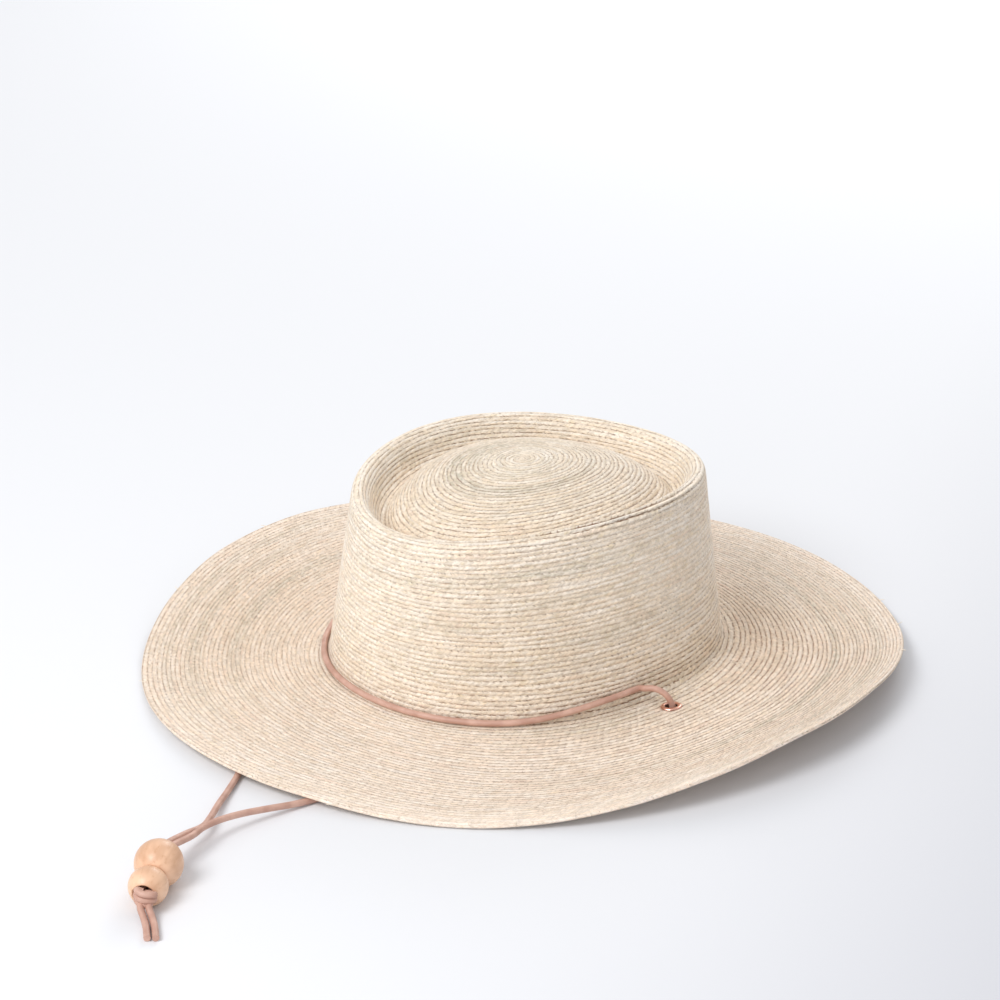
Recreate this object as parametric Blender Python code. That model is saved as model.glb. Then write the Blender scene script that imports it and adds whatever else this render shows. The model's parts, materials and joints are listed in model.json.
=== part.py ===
# Straw hat with a chin cord: a telescope crown and a wide brim of sewn palm braid,
# two metal eyelets, a round leather lace, two wooden beads and a stopper knot.
# Metres, +Z up. The hat rests on z = 0 and its front is -Y, where the chin cord lies.
# Angles round the hat are measured from the front, positive towards +X.
import math

import bpy
import bmesh
from mathutils import Matrix, Vector

# Crown, outside sizes
CROWN_BASE_LENGTH = 0.199
CROWN_BASE_WIDTH = 0.1746
CROWN_SHOULDER_LENGTH = 0.182
CROWN_SHOULDER_WIDTH = 0.1576
CROWN_HEIGHT = 0.0868
CROWN_BASE_RIGHT = 0.0012
CROWN_SHOULDER_RIGHT = 0.001
CROWN_SHOULDER_BACK = 0.002
DOME_TIP_RIGHT = -0.0012
DOME_TIP_BACK = -0.0004
BASE_POWER = 2.14
SHOULDER_POWER = 1.96
RIM_ROUND = 0.0035
RIM_DIP = 0.0038
RIM_BACK_RISE = 0.001
RIM_RIGHT_RISE = 0.0007
FOOT_ROUND = 0.0025
FOOT_TURNS = (90.0, 50.0, 10.0)
RIM_TURNS = (35.0, 65.0, 95.0, 125.0)
WALL_SHARES = (0.0, 0.18, 0.40, 0.62, 0.82, 1.0)

# Sunken channel inside the rim, and the dome in the middle
CHANNEL_INSET = 0.0125
CHANNEL_DEPTH = 0.0155
DOME_ABOVE_RIM = 0.0075

# Straw and brim
STRAW_WALL = 0.002
BRIM_SIDE_WIDTH = 0.0917
BRIM_END_WIDTH = 0.0902
BRIM_REST = 0.004
BRIM_LIFT = 0.018
BRIM_LIFT_POWER = 1.35
EDGE_ROLL = 0.0014
EDGE_ROLL_WIDTH = 0.013
EDGE_ROLL_AT = 64.0
EDGE_ROLL_SPREAD = 34.0
SEAM_GAP = 0.0003
BRIM_SHARES = (0.0, 0.05, 0.16, 0.32, 0.50, 0.68, 0.84, 0.93, 1.0)

# Eyelets
EYELET_ANGLE = 88.4
EYELET_OUT = 0.0152
EYELET_HOLE = 0.006
EYELET_TUBE_WALL = 0.0005
EYELET_FLANGE = 0.0102
EYELET_FLANGE_THICK = 0.0009
EYELET_UNDER_THICK = 0.0005
EYELET_FIT = 0.0003

# Leather lace, beads and knot
CORD_DIAMETER = 0.003
CORD_GAP = 0.0005
BAND_FIT = 0.0009
BAND_CLIMB = 0.0058
BEAD_LARGE_DIAMETER = 0.021
BEAD_LARGE_LENGTH = 0.0178
BEAD_SMALL_DIAMETER = 0.017
BEAD_SMALL_LENGTH = 0.0130
BEAD_BORE_FIT = 0.00035
CORD_LIE = 0.00156
BEAD_MOUTH = 0.0102
BEAD_MOUTH_DEPTH = 0.0022
KNOT_WIDTH = 0.0092
KNOT_HEIGHT = 0.0070
KNOT_DEPTH = 0.0062
KNOT_PROUD = 0.0016
KNOT_TILT = -9.0
KNOT_TURNS = (60.0, 20.0, -20.0, -60.0)

# Where the beads lie on the surface, and the way the cord's end points
BEAD_LARGE_AT = (0.0663, -0.2709)
CORD_HEADING = -53.0

# Mesh fineness
ROUND_STEPS = 60
EYELET_STEPS = 16
HOLE_STEPS = 20
BEAD_STEPS = 16
BEAD_RINGS = 8
ROUTE_STEPS = 24
CORD_POINT_SPACING = 2.9
CORD_POINT_TURN = 24.0

# Underside height of the brim's edge, as a share of BRIM_LIFT, by the angle from the front
EDGE_COLUMNS = ("angle", "lift")
EDGE_TABLE = (
    (-180.0, 0.00),
    (-150.0, 0.01),
    (-135.0, 0.08),
    (-120.0, 0.30),
    (-105.0, 0.60),
    (-90.0, 0.77),
    (-75.0, 0.71),
    (-60.0, 0.43),
    (-45.0, 0.13),
    (-33.0, 0.02),
    (-14.0, 0.14),
    (2.0, 0.235),
    (16.0, 0.225),
    (30.0, 0.08),
    (40.0, 0.02),
    (50.0, 0.11),
    (62.0, 0.36),
    (76.0, 0.72),
    (92.0, 1.00),
    (106.0, 0.98),
    (120.0, 0.72),
    (135.0, 0.33),
    (150.0, 0.06),
    (165.0, 0.00),
)

# Dome from its tip to the channel: across is a share of the channel's oval, up is a
# share of the height from the channel's floor to the tip
DOME_COLUMNS = ("across", "up")
DOME_TABLE = (
    (0.14, 0.990),
    (0.30, 0.945),
    (0.45, 0.875),
    (0.60, 0.765),
    (0.74, 0.610),
    (0.86, 0.395),
    (0.94, 0.180),
    (1.00, 0.000),
)

# Inner face of the rim, from the channel to the rim's round: inset is a share of
# CHANNEL_INSET, down a share of CHANNEL_DEPTH
INNER_RIM_COLUMNS = ("inset", "down")
INNER_RIM_TABLE = (
    (0.80, 0.94),
    (0.58, 0.66),
    (0.42, 0.34),
)

# Height of the lace on the crown, as a share of BAND_CLIMB above its place in the crease
BAND_COLUMNS = ("angle", "climb")
BAND_TABLE = (
    (-84.0, 1.00),
    (-79.0, 0.98),
    (-73.0, 0.86),
    (-65.0, 0.58),
    (-57.0, 0.28),
    (-50.0, 0.08),
    (-42.0, 0.00),
    (-30.0, 0.00),
    (-18.0, 0.00),
    (-6.0, 0.00),
    (6.0, 0.00),
    (18.0, 0.00),
    (30.0, 0.00),
    (42.0, 0.00),
    (50.0, 0.10),
    (57.0, 0.30),
    (65.0, 0.60),
    (73.0, 0.86),
    (79.0, 0.98),
    (84.0, 1.00),
)

# Lace from the eyelet over to the crown's side, measured from the eyelet's middle
ARCH_COLUMNS = ("inward", "along", "up")
ARCH_TABLE = (
    (0.0002, 0.0007, -0.0002),
    (0.0002, 0.0010, 0.0010),
    (0.0006, 0.0006, 0.0028),
    (0.0013, -0.0004, 0.0052),
    (0.0026, -0.0018, 0.0076),
    (0.0048, -0.0034, 0.0092),
    (0.0078, -0.0051, 0.0097),
    (0.0110, -0.0067, 0.0090),
)

# Lace from inside the eyelet down to the surface: x and y from the eyelet's middle, and
# height as a share of the eyelet's height above a lace that lies on the surface
DROP_COLUMNS = ("inward", "along", "rise")
DROP_TABLE = (
    (0.0002, 0.0003, 0.68),
    (0.0002, -0.0002, 0.50),
    (0.0002, -0.0009, 0.34),
    (0.0002, -0.0018, 0.21),
    (0.0003, -0.0031, 0.085),
    (0.0005, -0.0050, 0.018),
    (0.0007, -0.0078, 0.00),
    (0.0010, -0.0112, 0.00),
)

# Route of each strand from there to the large bead, lying on the surface under the brim
STRAND_RIGHT_ROUTE = (
    (0.1022, -0.0200, CORD_LIE),
    (0.0962, -0.0480, CORD_LIE),
    (0.0850, -0.0780, CORD_LIE),
    (0.0725, -0.1040, CORD_LIE),
    (0.0628, -0.1300, CORD_LIE),
    (0.0568, -0.1560, CORD_LIE),
    (0.0540, -0.1750, 0.00170),
    (0.0524, -0.1870, 0.0026),
    (0.0508, -0.2010, 0.0047),
    (0.0499, -0.2150, 0.0069),
    (0.0502, -0.2280, 0.0084),
    (0.0518, -0.2370, 0.0090),
    (0.0555, -0.2452, 0.0098),
)
STRAND_LEFT_ROUTE = (
    (-0.1002, -0.0200, CORD_LIE),
    (-0.0958, -0.0440, CORD_LIE),
    (-0.0850, -0.0730, CORD_LIE),
    (-0.0670, -0.0995, CORD_LIE),
    (-0.0440, -0.1250, CORD_LIE),
    (-0.0210, -0.1500, CORD_LIE),
    (-0.0010, -0.1720, CORD_LIE),
    (0.0120, -0.1870, 0.00170),
    (0.0219, -0.2004, 0.0021),
    (0.0308, -0.2128, 0.0030),
    (0.0392, -0.2232, 0.0042),
    (0.0462, -0.2330, 0.0058),
    (0.0508, -0.2456, 0.0087),
)
TAIL_RIGHT_ROUTE = (
    (0.0852, -0.2903, 0.0052),
    (0.0887, -0.2916, 0.0031),
    (0.0934, -0.2938, 0.00175),
    (0.1021, -0.2995, CORD_LIE),
)
TAIL_LEFT_ROUTE = (
    (0.0828, -0.2929, 0.0052),
    (0.0863, -0.2942, 0.0031),
    (0.0910, -0.2964, 0.00175),
    (0.0997, -0.3021, CORD_LIE),
)


def rows(columns, table):
    """The rows of a table, each read by the names of its columns."""
    return [dict(zip(columns, row)) for row in table]


def clear_scene():
    for thing in list(bpy.data.objects):
        bpy.data.objects.remove(thing, do_unlink=True)


def finish_material(name, colour, roughness, metallic=0.0):
    material = bpy.data.materials.new(name)
    material.use_nodes = True
    shader = material.node_tree.nodes["Principled BSDF"]
    shader.inputs["Base Color"].default_value = (*colour, 1.0)
    shader.inputs["Roughness"].default_value = roughness
    shader.inputs["Metallic"].default_value = metallic
    return material


def named_object(name, mesh, material):
    part = bpy.data.objects.new(name, mesh)
    bpy.context.collection.objects.link(part)
    mesh.materials.append(material)
    return part


def edge_lift(angle):
    """Read the edge's table round the hat: a smooth closed curve that keeps to its highs and lows."""
    edge = rows(EDGE_COLUMNS, EDGE_TABLE)
    count = len(edge)
    turn = (angle - edge[0]["angle"]) % 360.0 + edge[0]["angle"]
    row = max(i for i in range(count) if edge[i]["angle"] <= turn)

    def entry(index):
        laps, place = divmod(index, count)
        return edge[place]["angle"] + 360.0 * laps, edge[place]["lift"]

    def slope(before, here, after):
        rise_in = (here[1] - before[1]) / (here[0] - before[0])
        rise_out = (after[1] - here[1]) / (after[0] - here[0])
        if rise_in * rise_out <= 0.0:
            return 0.0
        return 2.0 * rise_in * rise_out / (rise_in + rise_out)

    before, start, end, after = (entry(row + step) for step in (-1, 0, 1, 2))
    width = end[0] - start[0]
    share = (turn - start[0]) / width
    square = share * share
    cube = square * share
    return ((2.0 * cube - 3.0 * square + 1.0) * start[1]
            + (cube - 2.0 * square + share) * width * slope(before, start, end)
            + (3.0 * square - 2.0 * cube) * end[1]
            + (cube - square) * width * slope(start, end, after))


def oval(angle, half_length, half_width, power):
    """A point of a rounded oval, at an angle from the front."""
    turn = math.radians(angle)
    reach = (abs(math.cos(turn)) ** power + abs(math.sin(turn)) ** power) ** (-1.0 / power)
    return Vector((half_width * reach * math.sin(turn), -half_length * reach * math.cos(turn), 0.0))


def base_line(angle, out=0.0):
    """Where the crown's wall meets the brim, or a line outside it."""
    line = oval(angle, CROWN_BASE_LENGTH / 2 + out, CROWN_BASE_WIDTH / 2 + out, BASE_POWER)
    return line + Vector((CROWN_BASE_RIGHT, 0.0, 0.0))


def shoulder_line(angle, inset=0.0):
    """The crown's outer line at the shoulder, or a line inside it."""
    line = oval(angle, CROWN_SHOULDER_LENGTH / 2 - inset, CROWN_SHOULDER_WIDTH / 2 - inset, SHOULDER_POWER)
    return line + Vector((CROWN_SHOULDER_RIGHT, CROWN_SHOULDER_BACK, 0.0))


def rim_height(angle, follow=1.0):
    """Top of the rim, which dips at the front and back; the dome follows it less."""
    turn = math.radians(angle)
    wave = -RIM_DIP * math.cos(2.0 * turn) - RIM_BACK_RISE * math.cos(turn) + RIM_RIGHT_RISE * math.sin(turn)
    return BRIM_REST + STRAW_WALL + CROWN_HEIGHT + follow * wave


def brim_height(angle, share):
    """Upper face of the brim, from the crease (share 0) to the edge (share 1)."""
    edge = edge_lift(angle) * BRIM_LIFT
    away = (angle - EDGE_ROLL_AT) / EDGE_ROLL_SPREAD
    roll = EDGE_ROLL * math.exp(-away * away)
    rolled = min(max((share - 1.0) * BRIM_SIDE_WIDTH / EDGE_ROLL_WIDTH + 1.0, 0.0), 1.0)
    rise = (edge + roll - BRIM_REST) * share ** BRIM_LIFT_POWER
    return BRIM_REST + STRAW_WALL + rise - roll * rolled * rolled


def brim_point(angle, share):
    inner = base_line(angle, FOOT_ROUND + SEAM_GAP)
    outer = oval(angle, CROWN_BASE_LENGTH / 2 + BRIM_END_WIDTH, CROWN_BASE_WIDTH / 2 + BRIM_SIDE_WIDTH, 2.0)
    place = inner.lerp(outer, share)
    place.z = brim_height(angle, share)
    return place


def wall_point(angle, height):
    """Outer face of the crown's wall, at a height above the brim."""
    top = rim_height(angle) - RIM_ROUND
    foot = BRIM_REST + STRAW_WALL
    share = height / (top - foot)
    place = base_line(angle).lerp(shoulder_line(angle), share)
    place.z = foot + height
    return place


def crown_sections():
    """Functions of the angle, one for each ring of the crown, from its foot to the dome."""
    sections = []
    foot = BRIM_REST + STRAW_WALL

    def foot_ring(turn):
        out = FOOT_ROUND * (1.0 - math.cos(turn))
        up = FOOT_ROUND * (1.0 - math.sin(turn))

        def ring(angle):
            place = base_line(angle, out)
            place.z = foot
            return place + Vector((0.0, 0.0, up))
        return ring

    def wall_ring(share):
        def ring(angle):
            low = FOOT_ROUND * 1.25
            high = rim_height(angle) - RIM_ROUND - foot
            return wall_point(angle, low + (high - low) * share)
        return ring

    def round_ring(turn):
        def ring(angle):
            place = shoulder_line(angle, RIM_ROUND * (1.0 - math.cos(turn)))
            place.z = rim_height(angle) - RIM_ROUND * (1.0 - math.sin(turn))
            return place
        return ring

    def inner_rim_ring(row):
        inset = RIM_ROUND + row["inset"] * CHANNEL_INSET
        down = row["down"] * CHANNEL_DEPTH

        def ring(angle):
            place = shoulder_line(angle, inset)
            place.z = rim_height(angle) - down
            return place
        return ring

    def dome_ring(row):
        def ring(angle):
            middle = Vector((DOME_TIP_RIGHT, DOME_TIP_BACK, 0.0))
            edge = shoulder_line(angle, RIM_ROUND + CHANNEL_INSET)
            place = middle.lerp(edge, row["across"])
            follow = row["across"] ** 2
            floor = rim_height(angle, follow) - CHANNEL_DEPTH
            place.z = floor + row["up"] * (CHANNEL_DEPTH + DOME_ABOVE_RIM)
            return place
        return ring

    for turn in FOOT_TURNS:
        sections.append(foot_ring(math.radians(turn)))
    for share in WALL_SHARES:
        sections.append(wall_ring(share))
    for turn in RIM_TURNS:
        sections.append(round_ring(math.radians(turn)))
    for row in reversed(rows(INNER_RIM_COLUMNS, INNER_RIM_TABLE)):
        sections.append(inner_rim_ring(row))
    for row in reversed(rows(DOME_COLUMNS, DOME_TABLE)):
        sections.append(dome_ring(row))
    return sections


def sheet_from_rings(rings, tip=None):
    """A sheet grown ring by ring from its first ring, closed to a point if a tip is given."""
    mesh = bmesh.new()
    step = mesh.verts.layers.int.new("step")
    circle = bmesh.ops.create_circle(mesh, cap_ends=False, segments=ROUND_STEPS, radius=1.0)
    for number, vertex in enumerate(circle["verts"]):
        vertex[step] = number
        vertex.co = rings[0](number * 360.0 / ROUND_STEPS)
    edges = list(mesh.edges)
    for ring in rings[1:]:
        grown = bmesh.ops.extrude_edge_only(mesh, edges=edges)["geom"]
        for vertex in (item for item in grown if isinstance(item, bmesh.types.BMVert)):
            vertex.co = ring(vertex[step] * 360.0 / ROUND_STEPS)
        edges = [item for item in grown if isinstance(item, bmesh.types.BMEdge)]
        fresh = {item for item in grown if isinstance(item, bmesh.types.BMVert)}
        edges = [edge for edge in edges if edge.verts[0] in fresh and edge.verts[1] in fresh]
    if tip is not None:
        grown = bmesh.ops.extrude_edge_only(mesh, edges=edges)["geom"]
        fresh = [item for item in grown if isinstance(item, bmesh.types.BMVert)]
        bmesh.ops.pointmerge(mesh, verts=fresh, merge_co=tip)
    bmesh.ops.recalc_face_normals(mesh, faces=mesh.faces)
    if sum(face.normal.z * face.calc_area() for face in mesh.faces) < 0.0:
        bmesh.ops.reverse_faces(mesh, faces=mesh.faces)
    return mesh


def mesh_data(name, mesh, sharp_angle=40.0):
    data = bpy.data.meshes.new(name)
    mesh.to_mesh(data)
    mesh.free()
    data.shade_smooth()
    data.set_sharp_from_angle(angle=math.radians(sharp_angle))
    return data


def give_wall(part):
    wall = part.modifiers.new("straw wall", "SOLIDIFY")
    wall.thickness = STRAW_WALL
    wall.offset = -1.0
    wall.use_even_offset = True
    return wall


def turned_piece(profile, steps):
    """A closed profile of (radius, along) pairs turned round the Z axis."""
    mesh = bmesh.new()
    points = [mesh.verts.new((radius, 0.0, along)) for radius, along in profile]
    edges = [mesh.edges.new((points[i - 1], points[i])) for i in range(len(points))]
    bmesh.ops.spin(mesh, geom=points + edges, cent=(0, 0, 0), axis=(0, 0, 1), dvec=(0, 0, 0),
                   angle=2.0 * math.pi, steps=steps, use_merge=True)
    bmesh.ops.remove_doubles(mesh, verts=mesh.verts, dist=1e-6)
    bmesh.ops.recalc_face_normals(mesh, faces=mesh.faces)
    return mesh


def make_crown(material):
    tip = Vector((DOME_TIP_RIGHT, DOME_TIP_BACK, rim_height(0.0, 0.0) + DOME_ABOVE_RIM))
    crown = named_object("crown", mesh_data("crown", sheet_from_rings(crown_sections(), tip)), material)
    give_wall(crown)
    return crown


def make_brim(material):
    rings = [lambda angle, share=share: brim_point(angle, share) for share in BRIM_SHARES]
    brim = named_object("brim", mesh_data("brim", sheet_from_rings(rings)), material)
    give_wall(brim)
    for side in (1, -1):
        cutter = make_hole_cutter(side)
        hole = brim.modifiers.new("eyelet hole", "BOOLEAN")
        hole.operation = "DIFFERENCE"
        hole.solver = "EXACT"
        hole.object = cutter
    return brim


def eyelet_place(side):
    """Matrix of an eyelet: origin halfway through the straw, Z square to the brim."""
    angle = side * EYELET_ANGLE
    share = (EYELET_OUT - FOOT_ROUND - SEAM_GAP) / (BRIM_SIDE_WIDTH - FOOT_ROUND - SEAM_GAP)
    place = brim_point(angle, share)
    along = brim_point(angle + 1.0, share) - brim_point(angle - 1.0, share)
    outward = brim_point(angle, share + 0.01) - brim_point(angle, share - 0.01)
    up = outward.cross(along).normalized()
    if up.z < 0.0:
        up.negate()
    across = along.cross(up).normalized()
    turn = Matrix((across, up.cross(across), up)).transposed().to_4x4()
    return Matrix.Translation(place - up * STRAW_WALL / 2) @ turn


def make_hole_cutter(side):
    mesh = bmesh.new()
    radius = EYELET_HOLE / 2 + EYELET_TUBE_WALL + EYELET_FIT
    bmesh.ops.create_cone(mesh, cap_ends=True, segments=HOLE_STEPS, radius1=radius, radius2=radius,
                          depth=4.0 * STRAW_WALL)
    bmesh.ops.transform(mesh, matrix=eyelet_place(side), verts=mesh.verts)
    cutter = bpy.data.objects.new("hole_cutter", bpy.data.meshes.new("hole_cutter"))
    mesh.to_mesh(cutter.data)
    mesh.free()
    bpy.context.collection.objects.link(cutter)
    cutter.hide_render = True
    cutter.display_type = "WIRE"
    return cutter


def make_eyelet(name, side, material):
    """A pressed eyelet: a short tube whose two ends are rolled out to flanges."""
    hole = EYELET_HOLE / 2
    tube = hole + EYELET_TUBE_WALL
    flange = EYELET_FLANGE / 2
    seat = STRAW_WALL / 2 + EYELET_FIT
    top = seat + EYELET_FLANGE_THICK
    lip = EYELET_FLANGE_THICK / 2
    under = seat + EYELET_UNDER_THICK
    profile = ((tube, seat), (flange - lip * 0.4, seat), (flange, seat + lip), (flange - lip, top),
               (hole + lip, top), (hole, top - lip), (hole, -seat), (hole + lip / 2, -under),
               (flange - lip / 2, -under), (flange, -seat), (tube, -seat))
    mesh = turned_piece(profile, EYELET_STEPS)
    bmesh.ops.transform(mesh, matrix=eyelet_place(side), verts=mesh.verts)
    return named_object(name, mesh_data(name, mesh, 50.0), material)


def smooth_route(points, spacing):
    """Points on a smooth curve through the route's own points, closer together in its bends."""
    knots = [Vector(point) for point in points]
    first = knots[0] * 2.0 - knots[1]
    last = knots[-1] * 2.0 - knots[-2]
    knots = [first] + knots + [last]
    fine = []
    for i in range(1, len(knots) - 2):
        before, start, end, after = knots[i - 1:i + 3]
        lengths = [max((b - a).length, 1e-6) ** 0.5 for a, b in ((before, start), (start, end), (end, after))]
        slope_in = (start - before) / lengths[0] - (end - before) / (lengths[0] + lengths[1])
        slope_in = (slope_in + (end - start) / lengths[1]) * lengths[1]
        slope_out = (end - start) / lengths[1] - (after - start) / (lengths[1] + lengths[2])
        slope_out = (slope_out + (after - end) / lengths[2]) * lengths[1]
        for step in range(ROUTE_STEPS):
            share = step / ROUTE_STEPS
            square = share * share
            cube = square * share
            fine.append(start * (2.0 * cube - 3.0 * square + 1.0) + slope_in * (cube - 2.0 * square + share)
                        + end * (3.0 * square - 2.0 * cube) + slope_out * (cube - square))
    fine.append(knots[-2])
    chosen = [fine[0]]
    heading = fine[1] - fine[0]
    walked = 0.0
    for here, ahead in zip(fine[1:], fine[2:]):
        walked += (ahead - here).length
        if walked >= spacing or (ahead - here).angle(heading) >= math.radians(CORD_POINT_TURN):
            chosen.append(here)
            heading = ahead - here
            walked = 0.0
    if walked < spacing / 3.0 and len(chosen) > 1:
        chosen.pop()
    chosen.append(fine[-1])
    return chosen


def make_lace(name, points, material):
    """A run of round lace: a bevelled curve with filled ends."""
    route = smooth_route(points, CORD_POINT_SPACING * CORD_DIAMETER)
    data = bpy.data.curves.new(name, "CURVE")
    data.dimensions = "3D"
    data.bevel_depth = CORD_DIAMETER / 2
    data.bevel_resolution = 2
    data.use_fill_caps = True
    line = data.splines.new("POLY")
    line.points.add(len(route) - 1)
    for point, place in zip(line.points, route):
        point.co = (*place, 1.0)
    line.use_smooth = True
    lace = bpy.data.objects.new(name, data)
    bpy.context.collection.objects.link(lace)
    data.materials.append(material)
    return lace


def band_point(angle, climb):
    """Centre of the lace where it lies on the crown, clear of wall and brim."""
    clear = CORD_DIAMETER / 2 + BAND_FIT
    corner = max(FOOT_ROUND - (FOOT_ROUND - clear) * math.sqrt(0.5), clear)
    height = corner + climb * BAND_CLIMB
    place = wall_point(angle, height)
    along = base_line(angle + 1.0) - base_line(angle - 1.0)
    outward = along.cross(Vector((0.0, 0.0, 1.0))).normalized()
    reach = clear + (corner - clear) * (1.0 - min(climb * 4.0, 1.0))
    return place + outward * reach


def band_route():
    """From the left eyelet up, round the front of the crown and down the right eyelet."""
    ends = []
    for side in (-1, 1):
        middle = eyelet_place(side).translation
        ends.append([middle + Vector((-side * row["inward"], row["along"], row["up"]))
                     for row in rows(ARCH_COLUMNS, ARCH_TABLE)])
    crown = [band_point(row["angle"], row["climb"]) for row in rows(BAND_COLUMNS, BAND_TABLE)]
    return ends[0] + crown + list(reversed(ends[1]))


def drop_points(side):
    """Start of a strand: from the eyelet's underside down to the surface."""
    middle = eyelet_place(side).translation
    fall = middle.z - CORD_LIE
    return [middle + Vector((-side * row["inward"], row["along"], fall * (row["rise"] - 1.0)))
            for row in rows(DROP_COLUMNS, DROP_TABLE)]


def bead_axis():
    """Direction along the beads' bores towards the cord's end; the small bead lies lower."""
    apart = (BEAD_LARGE_LENGTH + BEAD_SMALL_LENGTH) / 2 + CORD_GAP
    drop = (BEAD_LARGE_DIAMETER - BEAD_SMALL_DIAMETER) / 2 / apart
    level = math.sqrt(1.0 - drop * drop)
    heading = math.radians(CORD_HEADING)
    return Vector((level * math.cos(heading), level * math.sin(heading), -drop)), apart


def bead_places():
    axis, apart = bead_axis()
    large = Vector((*BEAD_LARGE_AT, BEAD_LARGE_DIAMETER / 2))
    return large, large + axis * apart


def frame_along(place, axis):
    """Matrix with Z along an axis and X level."""
    level = axis.cross(Vector((0.0, 0.0, 1.0))).normalized()
    turn = Matrix((level, axis.cross(level), axis)).transposed().to_4x4()
    return Matrix.Translation(place) @ turn


def make_bead(name, diameter, length, mouth, mouth_depth, place, material):
    """A turned ball with flat ends, drilled for two laces side by side."""
    axis, apart = bead_axis()
    bore = CORD_DIAMETER + CORD_GAP / 2 + BEAD_BORE_FIT
    half = length / 2
    radius = diameter / 2
    reach = math.asin(half / radius)
    outer = []
    for step in range(BEAD_RINGS + 1):
        turn = reach * (1.0 - 2.0 * step / BEAD_RINGS)
        outer.append((radius * math.cos(turn), radius * math.sin(turn)))
    lip = min(mouth / 2, outer[0][0] - 0.0004)
    inner = ((bore, -half), (bore, half - mouth_depth), (max(lip, bore + 0.0001), half))
    mesh = turned_piece(tuple(outer) + inner, BEAD_STEPS)
    bmesh.ops.transform(mesh, matrix=frame_along(place, axis), verts=mesh.verts)
    return named_object(name, mesh_data(name, mesh), material)


def knot_place():
    axis, apart = bead_axis()
    small = bead_places()[1]
    return small + axis * (BEAD_SMALL_LENGTH / 2 + KNOT_PROUD), axis


def make_knot(material):
    """Both laces wound twice across the bead's mouth: two turns pulled into one lump."""
    place, axis = knot_place()
    turn_radius = KNOT_HEIGHT / 4
    wide = KNOT_WIDTH / 2
    profile = [(0.0, 2.0 * turn_radius)]
    for middle in (turn_radius, -turn_radius):
        for turn in KNOT_TURNS:
            bend = math.radians(turn)
            out = turn_radius * (math.cos(bend) - 1.0)
            profile.append((wide + out, middle + turn_radius * math.sin(bend)))
    profile.append((0.0, -2.0 * turn_radius))
    mesh = bmesh.new()
    points = [mesh.verts.new((radius, 0.0, along)) for radius, along in profile]
    edges = [mesh.edges.new(pair) for pair in zip(points, points[1:])]
    bmesh.ops.spin(mesh, geom=points + edges, cent=(0, 0, 0), axis=(0, 0, 1), dvec=(0, 0, 0),
                   angle=2.0 * math.pi, steps=BEAD_STEPS, use_merge=True)
    bmesh.ops.remove_doubles(mesh, verts=mesh.verts, dist=1e-6)
    bmesh.ops.recalc_face_normals(mesh, faces=mesh.faces)
    flat = Matrix.Diagonal((1.0, KNOT_DEPTH / KNOT_WIDTH, 1.0, 1.0))
    tilt = Matrix.Rotation(math.radians(KNOT_TILT), 4, "Y")
    stand = Matrix.Rotation(math.radians(-90.0), 4, "X")
    bmesh.ops.transform(mesh, matrix=frame_along(place, axis) @ stand @ tilt @ flat, verts=mesh.verts)
    return named_object("stopper_knot", mesh_data("stopper_knot", mesh), material)


def lane_points(side):
    """Centres of one lace through both beads, up to the back of the knot."""
    large, small = bead_places()
    axis, apart = bead_axis()
    level = axis.cross(Vector((0.0, 0.0, 1.0))).normalized()
    aside = level * side * (CORD_DIAMETER + CORD_GAP) / 2
    mouth = large - axis * BEAD_LARGE_LENGTH / 2
    end = knot_place()[0] - axis * (KNOT_DEPTH / 2 + CORD_GAP)
    return [place + aside for place in (mouth - axis * CORD_DIAMETER, mouth, large, end)]


def make_cords(material):
    strand_right = drop_points(1) + [Vector(point) for point in STRAND_RIGHT_ROUTE] + lane_points(-1)
    strand_left = drop_points(-1) + [Vector(point) for point in STRAND_LEFT_ROUTE] + lane_points(1)
    make_lace("cord_band", band_route(), material)
    make_lace("cord_strand_right", strand_right, material)
    make_lace("cord_strand_left", strand_left, material)
    make_lace("cord_tail_right", TAIL_RIGHT_ROUTE, material)
    make_lace("cord_tail_left", TAIL_LEFT_ROUTE, material)


def main():
    clear_scene()
    straw = finish_material("palm straw", (0.72, 0.61, 0.47), 0.75)
    metal = finish_material("pink copper", (0.80, 0.44, 0.33), 0.3, 1.0)
    leather = finish_material("tan lace", (0.55, 0.33, 0.25), 0.6)
    wood = finish_material("pale wood", (0.78, 0.55, 0.33), 0.5)
    make_crown(straw)
    make_brim(straw)
    make_eyelet("eyelet_right", 1, metal)
    make_eyelet("eyelet_left", -1, metal)
    large, small = bead_places()
    bore = 2.0 * (CORD_DIAMETER + CORD_GAP / 2 + BEAD_BORE_FIT)
    make_bead("bead_large", BEAD_LARGE_DIAMETER, BEAD_LARGE_LENGTH, bore, 0.0, large, wood)
    make_bead("bead_small", BEAD_SMALL_DIAMETER, BEAD_SMALL_LENGTH, BEAD_MOUTH, BEAD_MOUTH_DEPTH, small, wood)
    make_knot(leather)
    make_cords(leather)


main()
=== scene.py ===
import json
import math

import bpy
import bmesh
import numpy as np
from mathutils import Matrix, Vector


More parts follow.
